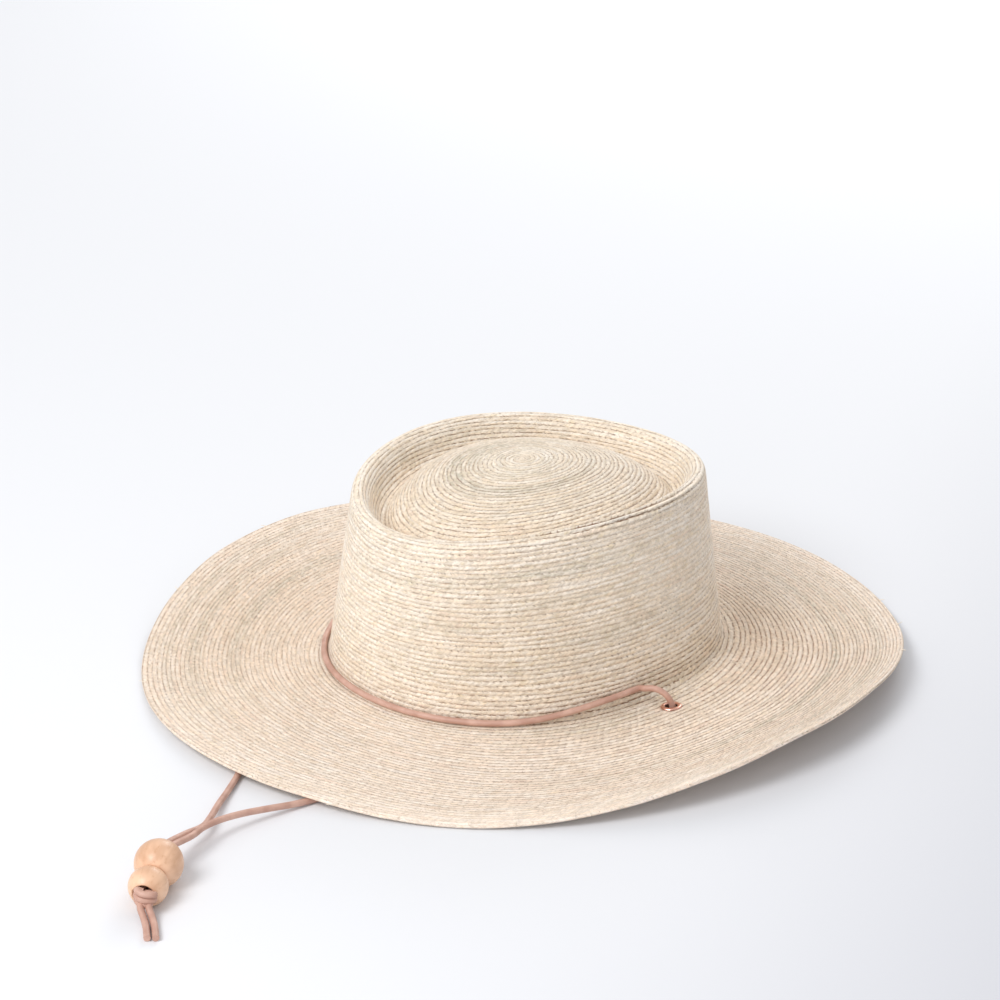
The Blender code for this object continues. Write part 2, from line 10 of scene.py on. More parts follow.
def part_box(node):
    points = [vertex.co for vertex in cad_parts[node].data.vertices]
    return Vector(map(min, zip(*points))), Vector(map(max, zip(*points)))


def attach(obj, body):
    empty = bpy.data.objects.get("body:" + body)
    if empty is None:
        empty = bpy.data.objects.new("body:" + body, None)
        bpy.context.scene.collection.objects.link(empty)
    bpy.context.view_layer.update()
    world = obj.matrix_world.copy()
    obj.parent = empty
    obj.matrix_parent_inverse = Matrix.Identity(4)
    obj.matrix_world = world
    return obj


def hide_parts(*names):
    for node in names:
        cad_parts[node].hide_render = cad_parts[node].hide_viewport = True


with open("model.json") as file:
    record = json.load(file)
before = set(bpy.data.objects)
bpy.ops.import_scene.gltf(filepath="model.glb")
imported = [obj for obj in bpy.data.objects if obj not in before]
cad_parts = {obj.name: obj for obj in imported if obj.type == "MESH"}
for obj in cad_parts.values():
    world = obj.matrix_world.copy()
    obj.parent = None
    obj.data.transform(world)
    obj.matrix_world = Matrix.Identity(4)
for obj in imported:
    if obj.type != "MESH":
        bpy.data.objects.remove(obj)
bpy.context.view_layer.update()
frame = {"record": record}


# Form of the straw. The hat is one long palm braid, sewn in a spiral from the tip of the
# crown down to the edge of the brim. The functions here give any place on its upper face,
# by the number of turns from the tip and the angle round the hat from the front.
MM = 0.001
CROWN_BASE = (0.0995, 0.0873)
CROWN_SHOULDER = (0.091, 0.0788)
CROWN_HEIGHT = 0.0868
BASE_POWER = 2.14
SHOULDER_POWER = 1.96
BASE_SHIFT = (0.0012, 0.0)
SHOULDER_SHIFT = (0.001, 0.002)
DOME_TIP = (-0.0012, -0.0004)
DOME_ABOVE_RIM = 0.0075
RIM_ROUND = 0.0035
RIM_WAVE = (0.0038, 0.001, 0.0007)
CHANNEL_INSET = 0.0125
CHANNEL_DEPTH = 0.0155
FOOT_ROUND = 0.0025
STRAW_WALL = 0.002
BRIM_EDGE = (0.1897, 0.1790)
BRIM_WIDTH = 0.0917
BRIM_REST = 0.004
BRIM_LIFT = 0.018
BRIM_LIFT_POWER = 1.35
EDGE_ROLL = 0.0014
EDGE_ROLL_WIDTH = 0.013
EDGE_ROLL_AT = 64.0
EDGE_ROLL_SPREAD = 34.0

# Underside of the brim's edge, as a share of BRIM_LIFT, by the angle from the front
EDGE_LIFT = (
    (-180.0, 0.00), (-150.0, 0.01), (-135.0, 0.08), (-120.0, 0.30), (-105.0, 0.60), (-90.0, 0.77),
    (-75.0, 0.71), (-60.0, 0.43), (-45.0, 0.13), (-33.0, 0.02), (-14.0, 0.14), (2.0, 0.235),
    (16.0, 0.225), (30.0, 0.08), (40.0, 0.02), (50.0, 0.11), (62.0, 0.36), (76.0, 0.72),
    (92.0, 1.00), (106.0, 0.98), (120.0, 0.72), (135.0, 0.33), (150.0, 0.06), (165.0, 0.00),
)
# Dome, by its share of the channel's oval: share of the height above the channel's floor
DOME_CURVE = (
    (0.00, 1.000), (0.14, 0.990), (0.30, 0.945), (0.45, 0.875), (0.60, 0.765), (0.74, 0.610),
    (0.86, 0.395), (0.94, 0.180), (1.00, 0.000),
)
# Inner face of the rim: inset as a share of CHANNEL_INSET, down as a share of CHANNEL_DEPTH
INNER_RIM_CURVE = ((0.80, 0.94), (0.58, 0.66), (0.42, 0.34))
RIM_TURNS = (125.0, 95.0, 65.0, 35.0)
WALL_SHARES = (0.0, 0.18, 0.40, 0.62, 0.82, 1.0)
WALL_START = 1.25 * FOOT_ROUND
FOOT_TURNS = (10.0, 50.0, 88.0)
BRIM_RINGS = 29
# Turned edge of the brim: out and down from the edge, in millimetres
TURNED_EDGE = ((0.55, 0.28), (0.75, 0.95), (0.45, 1.70))

# Turns of braid from the tip to the channel, up to the rim, down to the foot and to the edge
TURNS_DOME = 34.0
TURNS_RIM = 44.0
TURNS_FOOT = 83.0
TURNS_EDGE = 122.0
TURNS_END = 123.0
# By the right eyelet the inner rows of the brim are sewn wider, and the outer ones closer
ROW_WIDER = 0.60
ROW_WIDER_AT = 85.0
ROW_WIDER_SPREAD = 48.0
ANGLE_STEP = 1.0
TURN_STEPS = 10
CURVE_STEPS = 16
# Steps down and round the straw between which its outward direction is measured
OUTWARD_TURN = 0.12
OUTWARD_ANGLE = 1.5
OUTWARD_SAFE = 0.15


def smooth_table(table, angle):
    """Read a table round the hat along a smooth closed curve that keeps its highs and lows."""
    at = np.array([row[0] for row in table])
    value = np.array([row[1] for row in table])
    width = np.roll(at, -1) - at
    width[-1] += 360.0
    rise = (np.roll(value, -1) - value) / width
    before = np.roll(rise, 1)
    both = before * rise
    slope = np.where(both > 0.0, 2.0 * both / np.where(both > 0.0, before + rise, 1.0), 0.0)
    turn = (angle - at[0]) % 360.0 + at[0]
    row = np.searchsorted(at, turn, side="right") - 1
    after = (row + 1) % len(at)
    share = (turn - at[row]) / width[row]
    square, cube = share ** 2, share ** 3
    start = (2 * cube - 3 * square + 1) * value[row] + (cube - 2 * square + share) * width[row] * slope[row]
    end = (3 * square - 2 * cube) * value[after] + (cube - square) * width[row] * slope[after]
    return start + end


def oval(angle, half, power, shift=(0.0, 0.0)):
    """Points of a rounded oval; half holds its half length and half width."""
    turn = np.radians(angle)
    reach = (np.abs(np.cos(turn)) ** power + np.abs(np.sin(turn)) ** power) ** (-1.0 / power)
    flat = np.zeros(angle.shape + (3,))
    flat[..., 0] = shift[0] + half[1] * reach * np.sin(turn)
    flat[..., 1] = shift[1] - half[0] * reach * np.cos(turn)
    return flat


def raised(flat, height):
    """The same points at another height."""
    flat = flat.copy()
    flat[..., 2] = height
    return flat


def base_line(angle, out=0.0):
    """Foot of the crown's wall."""
    return oval(angle, (CROWN_BASE[0] + out, CROWN_BASE[1] + out), BASE_POWER, BASE_SHIFT)


def shoulder_line(angle, inset=0.0):
    """Top of the crown's wall."""
    half = (CROWN_SHOULDER[0] - inset, CROWN_SHOULDER[1] - inset)
    return oval(angle, half, SHOULDER_POWER, SHOULDER_SHIFT)


def rim_height(angle, follow=1.0):
    """Height of the rim, which is lower at the front and the back."""
    turn = np.radians(angle)
    wave = -RIM_WAVE[0] * np.cos(2 * turn) - RIM_WAVE[1] * np.cos(turn) + RIM_WAVE[2] * np.sin(turn)
    return BRIM_REST + STRAW_WALL + CROWN_HEIGHT + follow * wave


def brim_place(angle, share):
    """Upper face of the brim, at a share of the way from the crown to the edge."""
    edge = smooth_table(EDGE_LIFT, angle) * BRIM_LIFT
    roll = EDGE_ROLL * np.exp(-((angle - EDGE_ROLL_AT) / EDGE_ROLL_SPREAD) ** 2)
    rolled = min(max((share - 1.0) * BRIM_WIDTH / EDGE_ROLL_WIDTH + 1.0, 0.0), 1.0)
    height = BRIM_REST + STRAW_WALL + (edge + roll - BRIM_REST) * share ** BRIM_LIFT_POWER - roll * rolled ** 2
    inner = base_line(angle, FOOT_ROUND)
    return raised(inner + (oval(angle, BRIM_EDGE, 2.0) - inner) * share, height)


def straw_stations(angle):
    """Rings of places from the tip to the turned edge, and the ring that ends each zone."""
    rings, ends = [], []
    rim = rim_height(angle)
    foot = BRIM_REST + STRAW_WALL
    tip = np.zeros(angle.shape + (3,)) + (*DOME_TIP, 0.0)
    channel = shoulder_line(angle, RIM_ROUND + CHANNEL_INSET)
    for across, up in DOME_CURVE:
        floor = rim_height(angle, across ** 2) - CHANNEL_DEPTH
        height = floor + up * (CHANNEL_DEPTH + DOME_ABOVE_RIM)
        rings.append(raised(tip + (channel - tip) * across, height))
    ends.append(len(rings) - 1)
    for inset, down in INNER_RIM_CURVE:
        inner = shoulder_line(angle, RIM_ROUND + inset * CHANNEL_INSET)
        rings.append(raised(inner, rim - down * CHANNEL_DEPTH))
    for turn in RIM_TURNS:
        bend = math.radians(turn)
        rings.append(raised(shoulder_line(angle, RIM_ROUND * (1.0 - math.cos(bend))),
                            rim - RIM_ROUND * (1.0 - math.sin(bend))))
    ends.append(len(rings) - 3)  # the top of the rim
    high = rim - RIM_ROUND - foot
    for share in reversed(WALL_SHARES):
        height = WALL_START + (high - WALL_START) * share
        lean = (height / high)[..., None]
        rings.append(raised(base_line(angle) * (1.0 - lean) + shoulder_line(angle) * lean, foot + height))
    for turn in FOOT_TURNS:
        bend = math.radians(turn)
        rings.append(raised(base_line(angle, FOOT_ROUND * (1.0 - math.cos(bend))),
                            foot + FOOT_ROUND * (1.0 - math.sin(bend))))
    ends.append(len(rings) - 1)
    for share in np.linspace(0.0, 1.0, BRIM_RINGS + 1)[1:]:
        rings.append(brim_place(angle, share))
    ends.append(len(rings) - 1)
    edge = rings[-1]
    outward = edge - rings[-2]
    outward /= np.linalg.norm(outward, axis=-1, keepdims=True)
    for out, down in TURNED_EDGE:
        rings.append(edge + (outward * out - np.array((0.0, 0.0, down))) * MM)
    ends.append(len(rings) - 1)
    return np.array(rings), ends


def fine_spans(rings, steps):
    """A smooth curve down each column of stations, whose bends keep to the stations' spacing."""
    line = np.concatenate([rings[:1] * 2 - rings[1:2], rings, rings[-1:] * 2 - rings[-2:-1]])
    reach = np.maximum(np.linalg.norm(np.diff(line, axis=0), axis=-1, keepdims=True), 1e-6) ** 0.5
    fine = []
    for i in range(1, len(line) - 2):
        before, start, end, after = line[i - 1:i + 3]
        first, middle, last = reach[i - 1:i + 2]
        along = (end - start) / middle
        slope_in = ((start - before) / first - (end - before) / (first + middle) + along) * middle
        slope_out = (along - (after - start) / (middle + last) + (after - end) / last) * middle
        for step in range(steps):
            share = step / steps
            square, cube = share ** 2, share ** 3
            fine.append(start * (2 * cube - 3 * square + 1) + slope_in * (cube - 2 * square + share)
                        + end * (3 * square - 2 * cube) + slope_out * (cube - square))
    fine.append(rings[-1])
    return np.array(fine)


straw_angles = np.arange(0.0, 360.0, ANGLE_STEP)
stations, zone_ends = straw_stations(straw_angles)
fine = fine_spans(stations, CURVE_STEPS)
steps_down = np.linalg.norm(np.diff(fine, axis=0), axis=-1)
walked = np.concatenate([np.zeros((1, fine.shape[1])), np.cumsum(steps_down, axis=0)])
zone_turns = (0.0, TURNS_DOME, TURNS_RIM, TURNS_FOOT, TURNS_EDGE, TURNS_END)
straw_turns = np.arange(0, int(TURNS_END * TURN_STEPS) + 1) / TURN_STEPS
straw_grid = np.empty((len(straw_turns), len(straw_angles), 3))
brim_share = np.clip((straw_turns - TURNS_FOOT) / (TURNS_EDGE - TURNS_FOOT), 0.0, 1.0)
for column in range(len(straw_angles)):
    marks = [0.0] + [walked[end * CURVE_STEPS, column] for end in zone_ends]
    wider = ROW_WIDER * math.exp(-((straw_angles[column] - ROW_WIDER_AT) / ROW_WIDER_SPREAD) ** 2)
    wanted = np.interp(straw_turns, zone_turns, marks)
    wanted += wider * np.sin(math.pi * brim_share) / math.pi * (marks[4] - marks[3])
    for axis in range(3):
        straw_grid[:, column, axis] = np.interp(wanted, walked[:, column], fine[:, column, axis])
girth = np.linalg.norm(np.diff(straw_grid, axis=1, append=straw_grid[:, :1]), axis=-1).sum(axis=1)
braid_length = np.concatenate([[0.0], np.cumsum((girth[1:] + girth[:-1]) / 2 / TURN_STEPS)])


def straw_place(turns, angle):
    """Upper face of the straw at a number of turns from the tip and an angle from the front."""
    down = np.clip(turns, 0.0, TURNS_END) * TURN_STEPS
    row = np.minimum(down.astype(int), len(straw_turns) - 2)
    down = (down - row)[..., None]
    across = (angle % 360.0) / ANGLE_STEP
    column = across.astype(int) % len(straw_angles)
    beside = (column + 1) % len(straw_angles)
    across = (across - np.floor(across))[..., None]
    near = straw_grid[row, column] * (1 - across) + straw_grid[row, beside] * across
    far = straw_grid[row + 1, column] * (1 - across) + straw_grid[row + 1, beside] * across
    return near * (1 - down) + far * down


def straw_outward(turns, angle):
    """Direction straight out of the upper face of the straw."""
    safe = np.clip(turns, OUTWARD_SAFE, TURNS_END - OUTWARD_SAFE)
    down = straw_place(safe + OUTWARD_TURN, angle) - straw_place(safe - OUTWARD_TURN, angle)
    round_way = straw_place(safe, angle + OUTWARD_ANGLE) - straw_place(safe, angle - OUTWARD_ANGLE)
    out = np.cross(down, round_way)
    return out / np.maximum(np.linalg.norm(out, axis=-1, keepdims=True), 1e-12)


# Rows of braid. Each turn of braid is sewn under the edge of the turn before it, so every
# row rises from under its neighbour, swells, and ends in a free edge that steps down.
ROW_RISE = ((0.00, -0.15), (0.16, -0.03), (0.52, 0.09), (0.90, 0.10), (1.00, -0.15))
UNDER_RISE = ((0.00, 0.10), (0.80, -0.10), (1.00, 0.10))
HOLE_CUT = 0.0041
WELD = 2e-6
# Rows that gape where they fold over the rim: angle, and lift of the free edge in millimetres
RIM_GAPE = ((-180.0, 0.04), (-120.0, 0.04), (-60.0, 0.08), (-20.0, 0.15), (10.0, 0.30), (30.0, 0.55),
            (60.0, 0.75), (85.0, 0.90), (103.0, 0.85), (118.0, 0.40), (135.0, 0.08))
GAPE_AT = 44.6
GAPE_SPREAD = 1.7
# A gaping row lifts from this share of its width on, and its covered side sinks a little
GAPE_FROM = 0.3
GAPE_OVER = 0.6
GAPE_END = 0.99
GAPE_SUNK = 0.2
GAPE_SINK = 0.3
# Small uneven pull of the sewing: size in turns, waves round the hat, drift from row to row
ROW_WANDER = ((0.09, 2, 0.9), (0.06, 5, -1.3), (0.05, 11, 1.7), (0.035, 23, -2.6))
# The rows flatten towards the tip and the brim's edge
CALM_TIP = 1.5
CALM_EDGE = 0.8
CALM_LEAST = 0.25
CROWN_SPLIT = TURNS_RIM + 4.0
# Name of each piece of straw, its node, its first and last turn, and its columns
STRAW_PIECES = (
    ("crown_top", "crown", 0.0, CROWN_SPLIT, 300),
    ("crown_wall", "crown", CROWN_SPLIT, TURNS_FOOT, 360),
    ("brim_braid", "brim", TURNS_FOOT, TURNS_END, 400),
)


def row_wander(turns, angle):
    """Uneven pull of the sewing, in turns, the same on both sides of a seam."""
    turn = np.radians(angle)
    return sum(size * np.sin(waves * turn + drift * turns) for size, waves, drift in ROW_WANDER)


def braid_sheet(name, first, last, columns, rise, sink, upper):
    """A flat grid wound into a spiral: one turn of braid to each set of rings."""
    rings = len(rise) - 1
    turns_held = int(math.ceil(last - first)) + 1
    sheet = bmesh.new()
    bmesh.ops.create_grid(sheet, x_segments=columns, y_segments=turns_held * rings, size=0.5)
    data = bpy.data.meshes.new(name)
    sheet.to_mesh(data)
    sheet.free()
    flat = np.empty(len(data.vertices) * 3)
    data.vertices.foreach_get("co", flat)
    flat = flat.reshape(-1, 3)
    ring = np.rint((flat[:, 1] + 0.5) * turns_held * rings)
    angle = np.rint((flat[:, 0] + 0.5) * columns) * 360.0 / columns
    row = np.floor(ring / rings)
    across_row = np.array([r[0] for r in rise])[(ring - row * rings).astype(int)]
    laps = angle / 360.0
    turns = np.clip(first - 1.0 + row + across_row + laps, first, last)
    lane = turns - laps
    share = lane - np.floor(lane + 1e-7)
    height = np.interp(share, [r[0] for r in rise], [r[1] for r in rise])
    if upper:
        gape = smooth_table(RIM_GAPE, angle) * np.exp(-((turns - GAPE_AT) / GAPE_SPREAD) ** 2)
        lifted = np.clip((share - GAPE_FROM) / GAPE_OVER, 0, 1) * (share < GAPE_END)
        lifted -= GAPE_SINK * (share < GAPE_SUNK)
        height = height + gape * lifted
    calm = np.clip(turns / CALM_TIP, 0.0, 1.0) * np.clip((TURNS_END - turns) / CALM_EDGE, CALM_LEAST, 1.0)
    joined = np.clip((turns - first) * 2, 0, 1) * np.clip((last - turns) * 2, 0, 1)
    wander = row_wander(turns, angle) * calm * joined
    outward = straw_outward(turns, angle) * (height * calm * MM - sink)[:, None]
    data.vertices.foreach_set("co", (straw_place(turns + wander, angle) + outward).ravel())

    corner = np.empty(len(data.loops), dtype=np.int32)
    data.loops.foreach_get("vertex_index", corner)
    quad_row = np.repeat(np.floor(ring[corner].reshape(-1, 4).min(axis=1) / rings), 4)
    lane_turns = np.clip(first - 1.0 + quad_row + laps[corner], 0.0, TURNS_END)
    along = np.interp(lane_turns, straw_turns, braid_length)
    over = np.clip(lane[corner] - (first - 1.0 + quad_row), -1.0, 1.0)
    layer = data.uv_layers.new(name="braid")
    layer.data.foreach_set("uv", np.column_stack([along, quad_row + over]).ravel())
    around = data.attributes.new("around", "FLOAT_VECTOR", "POINT")
    turn = np.radians(angle)
    around.data.foreach_set("vector", np.column_stack([np.sin(turn), np.cos(turn), turns]).ravel())
    if upper:
        data.flip_normals()
    return data


def box_middle(node):
    """Middle of a CAD node's box."""
    low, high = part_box(node)
    return (Vector(low) + Vector(high)) / 2


def cut_hole(wall, middle, radius):
    """Take the straw out from under an eyelet, and join the two sheets round the hole."""
    inside = [face for face in wall.faces if (face.calc_center_median() - middle).xy.length < radius]
    bmesh.ops.delete(wall, geom=inside, context="FACES")
    rim = [edge for edge in wall.edges
           if edge.is_boundary and (edge.verts[0].co - middle).xy.length < 2.0 * radius]
    bmesh.ops.bridge_loops(wall, edges=rim)


def new_piece(name, data, node=None):
    """A finished piece of the hat, in the place of a CAD node where one is named."""
    piece = bpy.data.objects.new(name, data)
    bpy.context.scene.collection.objects.link(piece)
    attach(piece, "root")
    if node:
        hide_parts(node)
    return piece


def straw_piece(name, node, first, last, columns, holes):
    """A wall of braid: an upper sheet, an under sheet, and the strips that join their ends."""
    wall = bmesh.new()
    wall.from_mesh(braid_sheet(name, first, last, columns, ROW_RISE, 0.0, True))
    wall.from_mesh(braid_sheet(name, first, last, columns, UNDER_RISE, STRAW_WALL, False))
    bmesh.ops.remove_doubles(wall, verts=wall.verts, dist=WELD)
    bmesh.ops.dissolve_degenerate(wall, edges=wall.edges, dist=1e-7)
    turns = wall.verts.layers.float_vector["around"]
    rims = {first: [], last: []}
    for edge in wall.edges:
        if edge.is_boundary:
            ends = [vertex[turns].z for vertex in edge.verts]
            rims[first if max(ends) < (first + last) / 2 else last].append(edge)
    for edges in rims.values():
        if edges:
            bmesh.ops.bridge_loops(wall, edges=edges)
    for middle in holes:
        cut_hole(wall, middle, HOLE_CUT)
    data = bpy.data.meshes.new(name)
    wall.to_mesh(data)
    wall.free()
    data.shade_smooth()
    return new_piece(name, data, node)


eyelet_holes = [box_middle(node) for node in ("eyelet_right", "eyelet_left")]
straw_pieces = []
for name, node, first, last, columns in STRAW_PIECES:
    holes = eyelet_holes if node == "brim" else []
    straw_pieces.append(straw_piece(name, node, first, last, columns, holes))


# The palm. Each row is a narrow plait of split palm leaf, about 3 mm from crossing to
# crossing, cream with straw-yellow, pink and sage-green strands. A painted brown shadow lies
# under the free edge of each row, and painted shade makes dark specks where the strands leave a gap.
PLAIT = 0.0032
LANE_OFFSET = 0.37
ROW_MIDDLE = 0.42
PALM_CREAM = (0.885, 0.765, 0.62, 1.0)
PALM_PALE = (0.96, 0.885, 0.79, 1.0)
PALM_YELLOW = (0.86, 0.72, 0.49, 1.0)
PALM_PINK = (0.86, 0.66, 0.56, 1.0)
PALM_SAGE = (0.50, 0.475, 0.375, 1.0)
PALM_PAINTED_SHADE = (0.80, 0.74, 0.67, 1.0)
PALM_LINE = (0.30, 0.18, 0.115, 1.0)
PALM_GAP_SHADE = (0.13, 0.085, 0.06, 1.0)


def put(tree, kind, inputs=(), **settings):
    """Add a shader node with its settings, and fill its inputs with numbers or other sockets."""
    node = tree.nodes.new(kind)
    for setting, value in settings.items():
        setattr(node, setting, value)
    for place, value in dict(inputs).items():
        if isinstance(value, bpy.types.NodeSocket):
            tree.links.new(value, node.inputs[place])
        else:
            node.inputs[place].default_value = value
    return node


def maths(tree, operation, *values, clamp=False):
    return put(tree, "ShaderNodeMath", enumerate(values), operation=operation, use_clamp=clamp).outputs[0]


def times(tree, one, other, clamp=False):
    return maths(tree, "MULTIPLY", one, other, clamp=clamp)


def plus(tree, one, other, clamp=False):
    return maths(tree, "ADD", one, other, clamp=clamp)


def stretch(tree, place, scale):
    """A place multiplied by a scale for each axis."""
    return put(tree, "ShaderNodeVectorMath", {0: place, 1: scale}, operation="MULTIPLY").outputs[0]


def ramp(tree, value, low, high, start=0.0, end=1.0):
    """A smooth step from start to end as the value goes from low to high."""
    names = {"Value": value, "From Min": low, "From Max": high, "To Min": start, "To Max": end}
    return put(tree, "ShaderNodeMapRange", names, interpolation_type="SMOOTHSTEP").outputs[0]


def tint(tree, share, under, over, blend="MIX"):
    """Two colours mixed by a share."""
    mix = put(tree, "ShaderNodeMix", {0: share, 6: under, 7: over}, data_type="RGBA", blend_type=blend)
    return mix.outputs[2]


def vector(tree, x, y, z):
    return put(tree, "ShaderNodeCombineXYZ", {0: x, 1: y, 2: z}).outputs[0]


def speckle(tree, place):
    """An even random number for each whole-number place."""
    return put(tree, "ShaderNodeTexWhiteNoise", {"Vector": place}, noise_dimensions="3D").outputs["Value"]


def cloud(tree, place, detail=2.0, scale=1.0, roughness=0.5):
    names = {"Vector": place, "Scale": scale, "Detail": detail, "Roughness": roughness}
    return put(tree, "ShaderNodeTexNoise", names, noise_dimensions="3D").outputs["Fac"]


def new_group(name, inputs, outputs):
    """A shader node group with its named inputs and outputs."""
    group = bpy.data.node_groups.new(name, "ShaderNodeTree")
    for label, kind in inputs:
        group.interface.new_socket(label, in_out="INPUT", socket_type=kind)
    for label, kind in outputs:
        group.interface.new_socket(label, in_out="OUTPUT", socket_type=kind)
    given = group.nodes.new("NodeGroupInput").outputs
    made = group.nodes.new("NodeGroupOutput").inputs
    return group, given, made


NUMBER, COLOUR, VECTOR = "NodeSocketFloat", "NodeSocketColor", "NodeSocketVector"
# The Tan input carries painted shade
plait, given, made = new_group(
    "palm plait",
    (("Along", NUMBER), ("Row", NUMBER), ("Around", VECTOR), ("Green", NUMBER), ("Line", NUMBER),
     ("Tan", NUMBER)),
    (("Color", COLOUR), ("Height", NUMBER), ("Roughness", NUMBER)))
lane = maths(plait, "FLOOR", given["Row"])
over = maths(plait, "SUBTRACT", given["Row"], lane)
crossing = plus(plait, maths(plait, "DIVIDE", given["Along"], PLAIT), times(plait, lane, LANE_OFFSET))

# Strands run at a slant to the middle of the row and back
bend = maths(plait, "ABSOLUTE", maths(plait, "SUBTRACT", over, ROW_MIDDLE))
strand = plus(plait, crossing, times(plait, bend, 0.85))
strand_cell = maths(plait, "FLOOR", strand)
across_strand = maths(plait, "SUBTRACT", strand, strand_cell)
half = maths(plait, "GREATER_THAN", over, ROW_MIDDLE)
cell = vector(plait, strand_cell, lane, half)
cell_tint = speckle(plait, cell)
cell_other = speckle(plait, vector(plait, lane, strand_cell, plus(plait, half, 0.5)))
swell = maths(plait, "SINE", times(plait, across_strand, math.pi))
seam = ramp(plait, swell, 0.42, 0.05)

# Long streaks that follow a row, and patches that run over several rows
across_fibre = times(plait, over, 1.5)
streak_place = vector(plait, times(plait, given["Along"], 48.0), times(plait, lane, 5.3),
                      across_fibre)
streak = cloud(plait, streak_place, detail=3.0, roughness=0.6)
short_place = vector(plait, times(plait, given["Along"], 240.0), times(plait, lane, 9.1),
                     across_fibre)
short_streak = cloud(plait, short_place, detail=2.0)
patch = cloud(plait, stretch(plait, given["Around"], (3.2, 3.2, 0.20)), detail=3.0, roughness=0.55)
turns_down = put(plait, "ShaderNodeSeparateXYZ", {0: given["Around"]}).outputs[2]

colour = tint(plait, ramp(plait, streak, 0.42, 0.66), PALM_CREAM, PALM_PALE)
colour = tint(plait, times(plait, ramp(plait, short_streak, 0.54, 0.74), 0.55), colour, PALM_YELLOW)
pink = plus(plait, times(plait, ramp(plait, streak, 0.44, 0.28), 0.45),
             ramp(plait, turns_down, TURNS_FOOT - 3.0, TURNS_FOOT + 6.0, 0.0, 0.30), clamp=True)
colour = tint(plait, pink, colour, PALM_PINK)
mixed = times(plait, ramp(plait, patch, 0.50, 0.70), ramp(plait, short_streak, 0.36, 0.62))
green = plus(plait, times(plait, mixed, 0.18),
              times(plait, given["Green"], ramp(plait, short_streak, 0.34, 0.60, 0.2, 1.0)), clamp=True)
colour = tint(plait, times(plait, green, 0.85), colour, PALM_SAGE)
slanted = vector(plait, times(plait, strand, 3.4), times(plait, over, 1.1),
                 times(plait, lane, 7.7))
fibres = cloud(plait, slanted, detail=2.0, roughness=0.6)
shade = plus(plait, times(plait, cell_tint, 0.16), ramp(plait, fibres, 0.30, 0.68, 0.78, 1.02))
grey = put(plait, "ShaderNodeCombineColor", {0: shade, 1: shade, 2: shade}).outputs[0]
colour = tint(plait, 1.0, colour, grey, blend="MULTIPLY")
colour = tint(plait, times(plait, ramp(plait, cell_other, 0.80, 0.90), 0.45), colour, PALM_PALE)
# Painted shade: the Tan input darkens the straw where it faces less light or lies in the crown's shadow
colour = tint(plait, given["Tan"], colour, PALM_PAINTED_SHADE, blend="MULTIPLY")

# Painted shadow line under the free edge of the row above, and painted shade on the row's own
# free edge, scalloped by the plait and broken in length
reach = plus(plait, times(plait, across_strand, 0.16), times(plait, cell_other, 0.13))
below = maths(plait, "SUBTRACT", over, reach)
line = ramp(plait, maths(plait, "ABSOLUTE", below), 0.16, 0.03)
edge = ramp(plait, plus(plait, over, times(plait, seam, 0.05)), 0.93, 1.0, 0.0, 0.55)
broken = ramp(plait, cloud(plait, short_place, detail=2.0, scale=1.7), 0.34, 0.64, 0.12, 1.5)
line = times(plait, maths(plait, "MAXIMUM", line, edge),
             times(plait, broken, given["Line"]), clamp=True)
cut = times(plait, times(plait, seam, ramp(plait, over, 0.95, 0.15, 0.0, 0.26)), given["Line"])
line = maths(plait, "MAXIMUM", line, cut)
# Painted shade in the seams that gape open over the rim
open_seam = times(plait, ramp(plait, given["Line"], 1.25, 1.6), ramp(plait, below, 0.26, 0.10))
line = maths(plait, "MAXIMUM", line, open_seam)
colour = tint(plait, line, colour, PALM_LINE)
colour = tint(plait, times(plait, open_seam, 0.75), colour, PALM_GAP_SHADE)

# Painted shade: dark specks in the gaps at the crossings, more of them in the greener lengths
gap = times(plait, seam, ramp(plait, below, 0.22, 0.04))
chance = plus(plait, cell_tint, times(plait, given["Green"], 0.10))
speck = times(plait, gap, ramp(plait, chance, 0.78, 0.86, 0.0, 0.9))
colour = tint(plait, times(plait, speck, ramp(plait, given["Line"], 0.05, 0.4)), colour, PALM_GAP_SHADE)
fleck_place = vector(plait, times(plait, given["Along"], 900.0), times(plait, over, 2.2),
                     times(plait, lane, 3.1))
fleck = cloud(plait, fleck_place, detail=1.0)
colour = tint(plait, ramp(plait, fleck, 0.66, 0.76, 0.0, 0.38), colour, PALM_LINE)
colour = tint(plait, ramp(plait, fleck, 0.36, 0.26, 0.0, 0.35), colour, PALM_PALE)
plait.links.new(colour, made["Color"])
relief = plus(plait, times(plait, maths(plait, "POWER", swell, 0.6), 0.5),
               times(plait, maths(plait, "SUBTRACT", 1.0, line), 0.5))
fibre_place = vector(plait, times(plait, given["Along"], 700.0), times(plait, over, 9.0), lane)
fibre = cloud(plait, fibre_place, detail=1.0)
plait.links.new(plus(plait, relief, times(plait, fibre, 0.15)), made["Height"])
plait.links.new(ramp(plait, short_streak, 0.3, 0.7, 0.72, 0.58), made["Roughness"])

palm = bpy.data.materials.new("sewn palm braid")
palm.use_nodes = True
tree = palm.node_tree
shader = tree.nodes["Principled BSDF"]
straw = put(tree, "ShaderNodeGroup", node_tree=plait)
braid_uv = put(tree, "ShaderNodeUVMap", uv_map="braid").outputs[0]
braid_map = put(tree, "ShaderNodeSeparateXYZ", {0: braid_uv}).outputs
tree.links.new(braid_map[0], straw.inputs["Along"])
tree.links.new(braid_map[1], straw.inputs["Row"])
